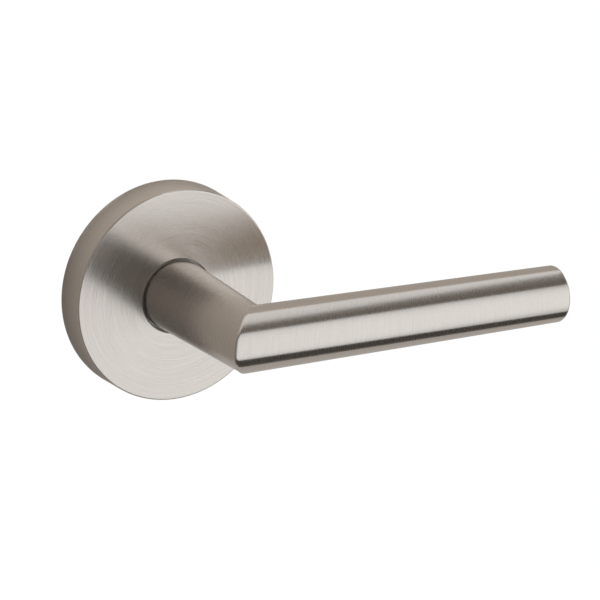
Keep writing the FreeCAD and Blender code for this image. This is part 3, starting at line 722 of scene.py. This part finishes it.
def thread_tree(turns, sides):
    titles = ["Crest radius", "Root radius", "Pitch", "Start", "End", "Nose radius"]
    tree, sizes = new_tree("thread_rule", *titles)
    crest, root, pitch, start, end, nose = sizes
    rows = ROWS_A_PITCH * turns
    grid = add(tree, "GeometryNodeMeshGrid", Vertices_X=sides + 1, Vertices_Y=rows + 1)
    around, along, _ = split(tree, grid.outputs["UV Map"])
    row = (along * rows).math("ROUND")
    travel = start + pitch * (row / ROWS_A_PITCH + around - 1.0)
    y = travel.math("MAXIMUM", start).math("MINIMUM", end)
    phase = row.math("FLOORED_MODULO", ROWS_A_PITCH)
    ridge = phase.math("GREATER_THAN", 0.5) * phase.math("LESS_THAN", 2.5)
    run_in = ((y - start) / pitch).math("MINIMUM", 1.0)
    run_out = ((end - y) / pitch).math("MINIMUM", 1.0)
    radius = mix(root, crest, ridge * run_in * run_out)
    angle = around * (2 * math.pi)
    moved = add(
        tree,
        "GeometryNodeSetPosition",
        Geometry=grid.outputs["Mesh"],
        Position=xyz(tree, radius * angle.cos(), y, radius * angle.sin()),
    )
    circle = add(tree, "GeometryNodeMeshCircle", {"fill_type": "TRIANGLE_FAN"}, Vertices=sides, Radius=nose)
    x, flat_y, _ = split(tree, tree.nodes.new("GeometryNodeInputPosition").outputs[0])
    cap = add(
        tree,
        "GeometryNodeSetPosition",
        Geometry=circle.outputs[0],
        Position=xyz(tree, x, end + (root - nose), flat_y),
    )
    ring = add(tree, "GeometryNodeMeshGrid", Vertices_X=sides + 1, Vertices_Y=2)
    turn, step, _ = split(tree, ring.outputs["UV Map"])
    swing = turn * (2 * math.pi)
    slope = mix(root, nose, step)
    chamfer = add(
        tree,
        "GeometryNodeSetPosition",
        Geometry=ring.outputs["Mesh"],
        Position=xyz(tree, slope * swing.cos(), end + (root - slope), slope * swing.sin()),
    )
    parts = [moved.outputs[0], cap.outputs[0], chamfer.outputs[0]]
    end_tree(tree, welded(tree, parts), zinc_steel)
    return tree


def threaded(name, turned_part, sides, **sizes):
    """Welds a turned part, open at the thread's start, to a thread."""
    turns = math.ceil((sizes["End"] - sizes["Start"]) / sizes["Pitch"]) + 1
    thread = run_tree(name + "_thread", thread_tree(turns, sides), **sizes)
    work = bmesh.new()
    work.from_mesh(thread.data)
    work.from_mesh(turned_part.data)
    bpy.data.objects.remove(turned_part)
    bmesh.ops.remove_doubles(work, verts=work.verts, dist=0.003 * MM)
    bmesh.ops.recalc_face_normals(work, faces=work.faces)
    mesh = bpy.data.meshes.new(name)
    work.to_mesh(mesh)
    work.free()
    mesh.materials.append(zinc_steel)
    bpy.data.objects.remove(thread)
    return link(bpy.data.objects.new(name, mesh))


print("a thread has", ROWS_A_PITCH, "rows to a pitch")

# %% [markdown]
# ## The hidden metals and plastics
#
# Behind the rose each piece keeps its exact solid and gets the finish of its trade. Steel pieces are zinc
# plated: bright, slightly blue and cloudy. The plate is die cast zinc, duller, with the fine pimpled skin of
# the mould. The spring steel is dark with oil, the screw and the circlip are blacked, and the two bushes are
# natural acetal, a waxy white plastic that lets a little light in.


# %% Finishes of the inner pieces
def zinc_plated_steel():
    material, tree, shader = new_material("zinc_plated_steel", (0.6, 0.62, 0.64), 1.0, 0.3)
    place = object_coordinates(tree)
    cloud = spread(noise(tree, place, 330.0, detail=4.0, roughness=0.55), 0.28, 0.72)
    grain = noise(tree, place, 2600.0, detail=2.0)
    tint(tree, shader, cloud, (0.55, 0.575, 0.61), (0.68, 0.675, 0.655))
    plug(tree, 0.24 + cloud * 0.12, shader.inputs["Roughness"])
    bump(tree, shader, grain * 0.5 + cloud * 0.5, 0.15, 0.03 * MM)
    return material


def die_cast_zinc():
    material, tree, shader = new_material("die_cast_zinc", (0.42, 0.42, 0.42), 1.0, 0.5)
    place = object_coordinates(tree)
    skin = spread(noise(tree, place, 900.0, detail=3.0, roughness=0.6), 0.36, 0.64)
    flow = spread(noise(tree, place, 90.0, detail=4.0, distortion=0.8), 0.34, 0.66)
    tint(tree, shader, flow * 0.6 + skin * 0.4, (0.34, 0.345, 0.355), (0.53, 0.53, 0.515))
    plug(tree, 0.38 + flow * 0.16, shader.inputs["Roughness"])
    bump(tree, shader, skin, 0.5, 0.05 * MM)
    return material


def spring_steel():
    material, tree, shader = new_material("spring_steel", (0.2, 0.2, 0.21), 1.0, 0.35)
    place = object_coordinates(tree)
    oil = spread(noise(tree, place, 220.0, detail=3.0, distortion=0.5), 0.34, 0.66)
    draw = noise(tree, place, 3000.0, detail=1.0)
    tint(tree, shader, oil, (0.15, 0.15, 0.16), (0.3, 0.29, 0.28))
    plug(tree, 0.25 + oil * 0.25, shader.inputs["Roughness"])
    bump(tree, shader, draw, 0.1, 0.02 * MM)
    return material


def black_steel():
    material, tree, shader = new_material("black_steel", (0.04, 0.04, 0.042), 0.6, 0.45)
    place = object_coordinates(tree)
    wear = noise(tree, place, 700.0, detail=4.0, roughness=0.65)
    tint(tree, shader, wear.math("POWER", 3.0), (0.028, 0.028, 0.03), (0.12, 0.115, 0.11))
    plug(tree, 0.38 + wear * 0.2, shader.inputs["Roughness"])
    bump(tree, shader, wear, 0.2, 0.02 * MM)
    return material


def acetal():
    constants = {"Subsurface_Weight": 0.25, "Subsurface_Scale": 0.002}
    material, tree, shader = new_material("acetal", (0.82, 0.81, 0.77), 0.0, 0.38, **constants)
    place = object_coordinates(tree)
    flow = noise(tree, place, 180.0, detail=2.0)
    turned_marks = noise(tree, place, 1800.0, detail=2.0)
    tint(tree, shader, flow, (0.78, 0.77, 0.72), (0.86, 0.855, 0.83))
    plug(tree, 0.32 + flow * 0.12, shader.inputs["Roughness"])
    bump(tree, shader, turned_marks, 0.1, 0.02 * MM)
    return material


zinc_steel = zinc_plated_steel()
FINISHES = {
    "satin_nickel": nickel,
    "zinc_plated_steel": zinc_steel,
    "die_cast_zinc": die_cast_zinc(),
    "spring_steel": spring_steel(),
    "black_steel": black_steel(),
    "acetal": acetal(),
}
print("finishes:", ", ".join(sorted(FINISHES)))

# %% [markdown]
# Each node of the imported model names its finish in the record, so one loop gives every carried node its
# material.

# %% Give each carried node its finish
slot_of_node = {entry["node"]: entry["material_slot"] for entry in frame["record"]["subparts"]}
for name, node in frame["nodes"].items():
    node.data.materials.clear()
    node.data.materials.append(FINISHES[slot_of_node[name]])
print("carried nodes with a finish:", len(slot_of_node))

# %% [markdown]
# ## The through bolts
#
# Two pan head screws pull the plate and its partner on the door's other side together. Each gets a turned
# head and shank, a rolled thread, and a cross cut whose arms taper towards the bottom, as a driver's tip
# does. The two arms are cut one after the other, because a cutter that crosses itself has no clear inside.

# %% A tapered arm of a cross cutter
ARM_PROUD = 0.4 * MM
ARM_TOP_SCALE = 1.15
ARM_FOOT_SCALE = 0.45


def arm_cutter(x, front, depth, reach, width, turn):
    """One tapered arm of a cross, from in front of a head down to a depth.

    reach and width are the arm's half length and its width near the head's face.
    """
    mesh = bpy.data.meshes.new("arm")
    work = bmesh.new()
    rings = []
    for y, scale in ((front - ARM_PROUD, ARM_TOP_SCALE), (front + depth, ARM_FOOT_SCALE)):
        half_long = reach * scale
        half_wide = width / 2 * (0.6 + 0.4 * scale)
        corners = [(a * half_long, y, b * half_wide) for a, b in ((-1, -1), (1, -1), (1, 1), (-1, 1))]
        rings.append([work.verts.new(corner) for corner in corners])
    work.faces.new(rings[0])
    work.faces.new(rings[1][::-1])
    for step in range(4):
        nxt = (step + 1) % 4
        work.faces.new((rings[0][step], rings[0][nxt], rings[1][nxt], rings[1][step]))
    bmesh.ops.recalc_face_normals(work, faces=work.faces)
    work.to_mesh(mesh)
    work.free()
    mesh.transform(Matrix.Translation((x, 0, 0)) @ Matrix.Rotation(turn, 4, "Y"))
    return link(bpy.data.objects.new("arm", mesh))


print("an arm tapers to", round(ARM_FOOT_SCALE / ARM_TOP_SCALE, 2), "of its length")

# %% Make the two bolts
BOLT_RADIUS = 2.0 * MM
BOLT_SHANK = 1.75 * MM
THREAD_PITCH = 0.7 * MM
THREAD_START = 11.0 * MM
SEAT = -4.4 * MM
HEAD_CROWN = 1.0 * MM
HEAD_EDGE = 0.2 * MM
THREAD_NOSE = 0.5 * MM
CROSS_DEPTH = 1.5 * MM
CROSS_REACH = 2.1 * MM
CROSS_WIDTH = 0.9 * MM
for side in ("left", "right"):
    low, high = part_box("through_bolt_" + side)
    middle_x = (low.x + high.x) / 2
    head_radius = (high.x - low.x) / 2
    outline = rounded(
        [
            (0.0, low.y, 0.0),
            (head_radius, low.y, HEAD_CROWN),
            (head_radius, SEAT, HEAD_EDGE),
            (BOLT_SHANK, SEAT, 0.0),
        ]
    )
    outline += [(BOLT_SHANK, 0.0), (BOLT_SHANK, THREAD_START)]
    head = turned("head_" + side, outline, zinc_steel, segments=32, closed=False)
    bolt = threaded(
        "bolt_" + side,
        head,
        32,
        Crest_radius=BOLT_RADIUS,
        Root_radius=BOLT_SHANK,
        Pitch=THREAD_PITCH,
        Start=THREAD_START,
        End=high.y - THREAD_NOSE,
        Nose_radius=BOLT_SHANK - THREAD_NOSE,
    )
    bolt.data.transform(Matrix.Translation((middle_x, 0, 0)))
    for turn in (0.0, math.pi / 2):
        cut_away(bolt, arm_cutter(middle_x, low.y, CROSS_DEPTH, CROSS_REACH, CROSS_WIDTH, turn))
    finish_surface(bolt)
    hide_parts("through_bolt_" + side)
    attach(bolt, "rose")
    print(bolt.name, "has", len(bolt.data.polygons), "faces")

# %% [markdown]
# ## The set screw
#
# A blacked socket screw locks the lever on the hub. Its thread fills the tapped hole, so only the hexagon
# socket and the first turn show from below. It is made lying along Y, like the bolts, and then stood up.

# %% Make the set screw
SCREW_PITCH = 0.8 * MM
SCREW_ROOT = 2.05 * MM
screw_radius = (screw_high.x - screw_low.x) / 2
screw_length = screw_high.z - screw_low.z
SCREW_CHAMFER = 0.3 * MM
screw_outline = [(0.0, 0.0), (SCREW_ROOT - SCREW_CHAMFER, 0.0), (SCREW_ROOT, SCREW_CHAMFER)]
screw_end = turned("screw_end", screw_outline, zinc_steel, segments=48, closed=False)
screw = threaded(
    "set_screw",
    screw_end,
    48,
    Crest_radius=screw_radius,
    Root_radius=SCREW_ROOT,
    Pitch=SCREW_PITCH,
    Start=SCREW_CHAMFER,
    End=screw_length - THREAD_NOSE,
    Nose_radius=SCREW_ROOT - THREAD_NOSE,
)
screw.data.materials.clear()
screw.data.materials.append(FINISHES["black_steel"])
socket_mesh = bpy.data.meshes.new("hexagon")
socket_work = bmesh.new()
HEX_KEY = 2.5 * MM
HEX_CUTTER = 3.6 * MM
corner = HEX_KEY / math.sqrt(3)
bmesh.ops.create_cone(
    socket_work, cap_ends=True, segments=6, radius1=corner, radius2=corner, depth=HEX_CUTTER
)
bmesh.ops.rotate(socket_work, verts=socket_work.verts, matrix=Matrix.Rotation(math.pi / 2, 3, "X"))
socket_work.to_mesh(socket_mesh)
socket_work.free()
cut_away(screw, link(bpy.data.objects.new("hexagon", socket_mesh)))
stand_up = Matrix.Translation((0, screw_centre.y, screw_low.z)) @ Matrix.Rotation(math.pi / 2, 4, "X")
screw.data.transform(stand_up)
finish_surface(screw)
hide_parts("lever_set_screw")
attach(screw, "lever")
print("the set screw has", len(screw.data.polygons), "faces")

# %% [markdown]
# ## The return spring
#
# A torsion spring of three turns lies round the sleeve, and its two legs hang down beside a peg. Its path
# follows a rule that is the same for both halves, seen from the middle of the coil: an angle that winds to
# the bottom, a bend, and a straight leg. Geometry Nodes puts the points of a line in these places and sweeps
# a circle along it, which is just how wire is coiled.

# %% Sizes of the spring
spring_low, spring_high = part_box("return_spring")
WIRE_RADIUS = 0.9 * MM
COIL_RADIUS = spring_high.x - WIRE_RADIUS
COIL_PITCH = 1.85 * MM
LEG_X = 3.3 * MM
KNEE = 2.6 * MM
KNEE_WEIGHT = 1.55
coil_middle = (spring_low.y + spring_high.y) / 2
print("the coil's radius is", round(COIL_RADIUS / MM, 2), "mm")


# %% The spring's rule
def spring_tree(coil_points=180, knee_points=14, leg_points=3):
    titles = ["Coil radius", "Wire radius", "Pitch", "Middle", "Leg offset", "Leg end", "Knee"]
    tree, sizes = new_tree("spring_rule", *titles)
    radius, wire, pitch, middle, leg_x, leg_end, knee = sizes
    half = coil_points + knee_points + leg_points
    line = add(tree, "GeometryNodeMeshLine", {"mode": "OFFSET"}, Count=2 * half + 1)
    index = Num(tree, tree.nodes.new("GeometryNodeInputIndex").outputs[0]) - float(half)
    side = index.math("SIGN")
    step = index.math("ABSOLUTE")
    spread = (leg_x / radius).math("ARCSINE")
    last = 3 * math.pi - spread - knee / radius
    share = (step / coil_points).math("MINIMUM", 1.0)
    wound = last * share
    coil_x = radius * wound.sin()
    coil_z = radius * wound.cos()
    drift = pitch * wound / (2 * math.pi)
    near = math.pi - (last - 2 * math.pi)
    corner_z = coil_z - (coil_x - leg_x) * near.sin() / near.cos()
    bend = ((step - coil_points) / knee_points).math("MAXIMUM", 0.0).math("MINIMUM", 1.0)
    rest = 1.0 - bend
    weights = [rest * rest, bend * rest * KNEE_WEIGHT, bend * bend]
    total = weights[0] + weights[1] + weights[2]
    leg_top = corner_z - knee
    x = (weights[0] * coil_x + weights[1] * leg_x + weights[2] * leg_x) / total
    z = (weights[0] * coil_z + weights[1] * corner_z + weights[2] * leg_top) / total
    down = ((step - (coil_points + knee_points)) / leg_points).math("MAXIMUM", 0.0)
    z = mix(z, leg_end, down)
    position = xyz(tree, -side * x, middle + side * drift, z)
    moved = add(tree, "GeometryNodeSetPosition", Geometry=line.outputs[0], Position=position)
    path = add(tree, "GeometryNodeMeshToCurve", Mesh=moved.outputs[0])
    circle = add(tree, "GeometryNodeCurvePrimitiveCircle", Resolution=18, Radius=wire)
    swept = add(
        tree,
        "GeometryNodeCurveToMesh",
        Curve=path.outputs[0],
        Profile_Curve=circle.outputs[0],
        Fill_Caps=True,
    )
    end_tree(tree, swept.outputs[0], FINISHES["spring_steel"])
    return tree


spring = run_tree(
    "torsion_spring",
    spring_tree(),
    Coil_radius=COIL_RADIUS,
    Wire_radius=WIRE_RADIUS,
    Pitch=COIL_PITCH,
    Middle=coil_middle,
    Leg_offset=LEG_X,
    Leg_end=spring_low.z,
    Knee=KNEE,
)
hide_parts("return_spring")
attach(spring, "rose")
print("the spring has", len(spring.data.polygons), "faces")

# %% [markdown]
# ## The studio
#
# Brushed metal shows little of its own: it shows the lights. One large soft card stands in front, one hangs
# overhead, and dark flags between and below them keep the room's light off, so the bar gets a wide bright
# band with darker bands beside it. A warm bounce lies under the lower flag. Two more cards stand behind the
# door's plane, one straight behind and one at the right, and light what leans away from the room. The cards
# are emitting quads that the camera doesn't see, and they aren't part of the object.


# %% Light cards
def emitting(name, strength, colour):
    material = bpy.data.materials.new(name)
    material.use_nodes = True
    tree = material.node_tree
    tree.nodes.clear()
    emission = add(tree, "ShaderNodeEmission", Strength=strength)
    emission.inputs["Color"].default_value = (*colour, 1.0)
    output = tree.nodes.new("ShaderNodeOutputMaterial")
    tree.links.new(emission.outputs[0], output.inputs["Surface"])
    return material


def hidden_light(mesh, strength, colour):
    """An emitting mesh that the camera doesn't see. Returns it with its material's node tree."""
    mesh.materials.append(emitting(mesh.name, strength, colour))
    sheet = link(bpy.data.objects.new(mesh.name, mesh))
    sheet.visible_camera = False
    sheet.visible_shadow = False
    return sheet, mesh.materials[0].node_tree


def card(name, corners, strength, colour):
    """A sheet of light through its corners in metres, as its node tree. A weak one is a dark flag."""
    mesh = bpy.data.meshes.new(name)
    mesh.from_pydata([tuple(corner) for corner in corners], [], [tuple(range(len(corners)))])
    sheet, nodes = hidden_light(mesh, strength, colour)
    sheet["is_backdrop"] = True
    return nodes


def seen_from_bar(x, elevation, distance):
    """Where the bar's reflection looks from a place x along it: the elevation is in degrees, from -Y up."""
    angle = math.radians(elevation)
    spot = Vector((x, -AXIS_OUT, 0.0))
    view = (camera_place - spot).normalized()
    flat = math.hypot(view.y, view.z)
    heading = Vector((-view.x, -math.cos(angle) * flat, math.sin(angle) * flat))
    return spot + heading * distance


print("cards face the bar")

# %% [markdown]
# The front card isn't even. It ramps up from the left, so the rose darkens on that side, and it falls off a
# little towards its top and its bottom. The strips are placed by where the bar's own reflection looks from
# its two ends, so the bands run straight along the bar.

# %% Place the cards
COOL = (0.95, 0.972, 1.0)
WARM = (1.0, 0.952, 0.91)
DUSKY = (1.0, 0.91, 0.83)
NEAR_X = 14 * MM
FAR_X = 103 * MM
FRONT_Y = -1.1


def strip(name, distance, near_end, far_end, strength, stretch=1.0, colour=COOL):
    """A card whose two long edges pass through reflections at both ends of the bar.

    near_end and far_end are the two edges' elevations in degrees as seen from each end, and stretch says how
    much of its own length the card reaches past either end.
    """
    edges = []
    for near, far in zip(near_end, far_end):
        start = seen_from_bar(NEAR_X, near, distance)
        stop = seen_from_bar(FAR_X, far, distance)
        edges.append((start + (start - stop) * stretch, stop + (stop - start) * stretch))
    card(name, [edges[0][0], edges[0][1], edges[1][1], edges[1][0]], strength, colour)


def upright(y, left, right, low, high):
    """The corners of an upright sheet that stands parallel to the door."""
    return [(left, y, low), (right, y, low), (right, y, high), (left, y, high)]


front_corners = upright(FRONT_Y, left=-0.95, right=3.2, low=-2.4, high=1.4)
front_nodes = card("card_front", front_corners, 1.15, COOL)
across_card, _, up_card = split(front_nodes, object_coordinates(front_nodes))
share = ((across_card + 0.1) / 0.42).math("MAXIMUM", 0.0).math("MINIMUM", 1.0)
from_middle = ((up_card + 0.2).math("ABSOLUTE") / 1.2).math("MINIMUM", 1.0)
falloff = 1.0 - from_middle * from_middle * from_middle * 0.3
plug(front_nodes, (0.15 + share * share * 1.02) * falloff, front_nodes.nodes["Emission"].inputs["Strength"])
strip("flag_low", 0.32, (-52, -84), (-63, -94), 0.07, stretch=2.0, colour=DUSKY)
strip("bounce", 0.33, (-84, -150), (-94, -150), 0.5, stretch=2.0, colour=WARM)
strip("card_top", 0.7, (76, 112), (99, 113), 0.93, stretch=1.5)
strip("flag_high", 0.9, (44, 75), (49, 99), 0.14, stretch=2.5, colour=DUSKY)
card("card_back", upright(1.6, left=-0.45, right=0.25, low=0.0, high=0.8), 1.6, COOL)
card(
    "card_back_right",
    [(1.7, 0.1, -0.3), (1.7, 0.75, -0.3), (1.7, 0.75, 1.2), (1.7, 0.1, 1.2)],
    1.3,
    COOL,
)
print("the front card stands", -FRONT_Y, "m in front of the door")

# %% [markdown]
# A door would carry a soft shadow close round the rose, and the rose's wall mirrors it. A ring that only
# reflections see stands for it: dark at its inside and as bright as the room at its outside.


# %% Put the shadow round the rose
def flat_ring(name, inner, outer, y, segments):
    """A flat ring round the spindle's axis, as a mesh without a material."""
    mesh = bpy.data.meshes.new(name)
    work = bmesh.new()
    turns = [2 * math.pi * step / segments for step in range(segments)]
    loops = []
    for radius in (inner, outer):
        loops.append([work.verts.new((radius * math.cos(a), y, radius * math.sin(a))) for a in turns])
    for step in range(segments):
        nxt = (step + 1) % segments
        work.faces.new((loops[0][step], loops[0][nxt], loops[1][nxt], loops[1][step]))
    work.to_mesh(mesh)
    work.free()
    return mesh


SHADOW_INSIDE = ROSE_RADIUS + 0.6 * MM
SHADOW_OUTSIDE = ROSE_RADIUS + 9 * MM
SHADOW_Y = 1 * MM
shadow_mesh = flat_ring("wall_shadow", SHADOW_INSIDE, SHADOW_OUTSIDE, SHADOW_Y, 64)
shadow_ring, shadow_nodes = hidden_light(shadow_mesh, 0.3, DUSKY)
shadow_ring.visible_diffuse = False
shadow_ring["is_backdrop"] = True
shadow_x, _, shadow_z = split(shadow_nodes, object_coordinates(shadow_nodes))
from_axis = (shadow_x * shadow_x + shadow_z * shadow_z).math("SQRT")
out_share = (from_axis - SHADOW_INSIDE) / (SHADOW_OUTSIDE - SHADOW_INSIDE)
upward = (shadow_z / from_axis).math("MAXIMUM", 0.0)
level = mix(0.16, 0.36, out_share) * (1.1 + upward * upward)
plug(shadow_nodes, level, shadow_nodes.nodes["Emission"].inputs["Strength"])
print("the shadow ring is", round((SHADOW_OUTSIDE - SHADOW_INSIDE) / MM, 1), "mm wide")

# %% [markdown]
# The gap round the neck isn't black, because light goes into it and comes out again after many bounces. A
# narrow glowing ring just behind the rose's face stands for these bounces, a little brighter at the top.

# %% Put a little light into the gap round the neck
GAP_INSIDE = ROSE_BORE + 0.1 * MM
GAP_OUTSIDE = ROSE_BORE + 2.5 * MM
GAP_Y = -8.9 * MM
gap_mesh = flat_ring("gap_fill", GAP_INSIDE, GAP_OUTSIDE, GAP_Y, 48)
gap_fill, gap_nodes = hidden_light(gap_mesh, 0.16, WARM)
gap_fill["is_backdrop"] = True
_, _, gap_up = split(gap_nodes, object_coordinates(gap_nodes))
gap_level = 0.16 + (gap_up / ROSE_BORE).math("MAXIMUM", 0.0) * 0.3
plug(gap_nodes, gap_level, gap_nodes.nodes["Emission"].inputs["Strength"])
print("the gap is lit from inside")

# %% [markdown]
# The floor lies far below and is plain and pale, and so is all that surrounds the object. The camera sees
# them white, but the metal mirrors a dimmer grey that is a little brighter at the right and at the top.

# %% Floor and surroundings
floor_mesh = bpy.data.meshes.new("floor")
FLOOR_Z = -1.5
FLOOR_REACH = 6.0
BACKDROP = 1.02
signs = [(-1, -1), (1, -1), (1, 1), (-1, 1)]
floor_corners = [(x * FLOOR_REACH, y * FLOOR_REACH, FLOOR_Z) for x, y in signs]
floor_mesh.from_pydata(floor_corners, [], [(0, 1, 2, 3)])


def two_faced(tree, seen, mirrored, output):
    """Sends one shader to the camera and another to everything else."""
    rays = tree.nodes.new("ShaderNodeLightPath")
    blend = tree.nodes.new("ShaderNodeMixShader")
    tree.links.new(rays.outputs["Is Camera Ray"], blend.inputs[0])
    tree.links.new(mirrored, blend.inputs[1])
    tree.links.new(seen, blend.inputs[2])
    tree.links.new(blend.outputs[0], output)


floor_material = bpy.data.materials.new("floor")
floor_material.use_nodes = True
floor_nodes = floor_material.node_tree
floor_nodes.nodes.clear()
floor_white = add(floor_nodes, "ShaderNodeEmission", Strength=BACKDROP)
floor_grey = add(floor_nodes, "ShaderNodeEmission", Strength=0.42)
floor_out = floor_nodes.nodes.new("ShaderNodeOutputMaterial")
two_faced(floor_nodes, floor_white.outputs[0], floor_grey.outputs[0], floor_out.inputs["Surface"])
floor_mesh.materials.append(floor_material)
floor = link(bpy.data.objects.new("floor", floor_mesh))
floor.visible_glossy = False
floor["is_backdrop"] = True

world = bpy.data.worlds.new("studio")
bpy.context.scene.world = world
world.use_nodes = True
world_nodes = world.node_tree
world_nodes.nodes.clear()
world_white = add(world_nodes, "ShaderNodeBackground", Strength=BACKDROP)
world_white.inputs[0].default_value = (1.0, 1.0, 1.0, 1.0)
right, _, up = split(world_nodes, world_nodes.nodes.new("ShaderNodeTexCoord").outputs["Generated"])
level = 0.41 + right * 0.06 + up * 0.07
world_grey = add(world_nodes, "ShaderNodeBackground", Strength=level)
world_grey.inputs[0].default_value = (*DUSKY, 1.0)
world_out = world_nodes.nodes.new("ShaderNodeOutputWorld")
two_faced(world_nodes, world_white.outputs[0], world_grey.outputs[0], world_out.inputs["Surface"])
bpy.context.scene.view_settings.view_transform = "Standard"
print("the floor lies", -FLOOR_Z, "m below the spindle")

# %% [markdown]
# ## Compare the size
#
# The finished model keeps the solids' box, give or take a hair of rounding. The last line prints how far
# each side of the box has moved, in millimetres.

# %% Print how the box changed
new_low, new_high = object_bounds()
changes = [(new - old) / MM for new, old in zip((*new_low, *new_high), (*cad_low, *cad_high))]
print("box changes in mm:", [round(change, 2) for change in changes])
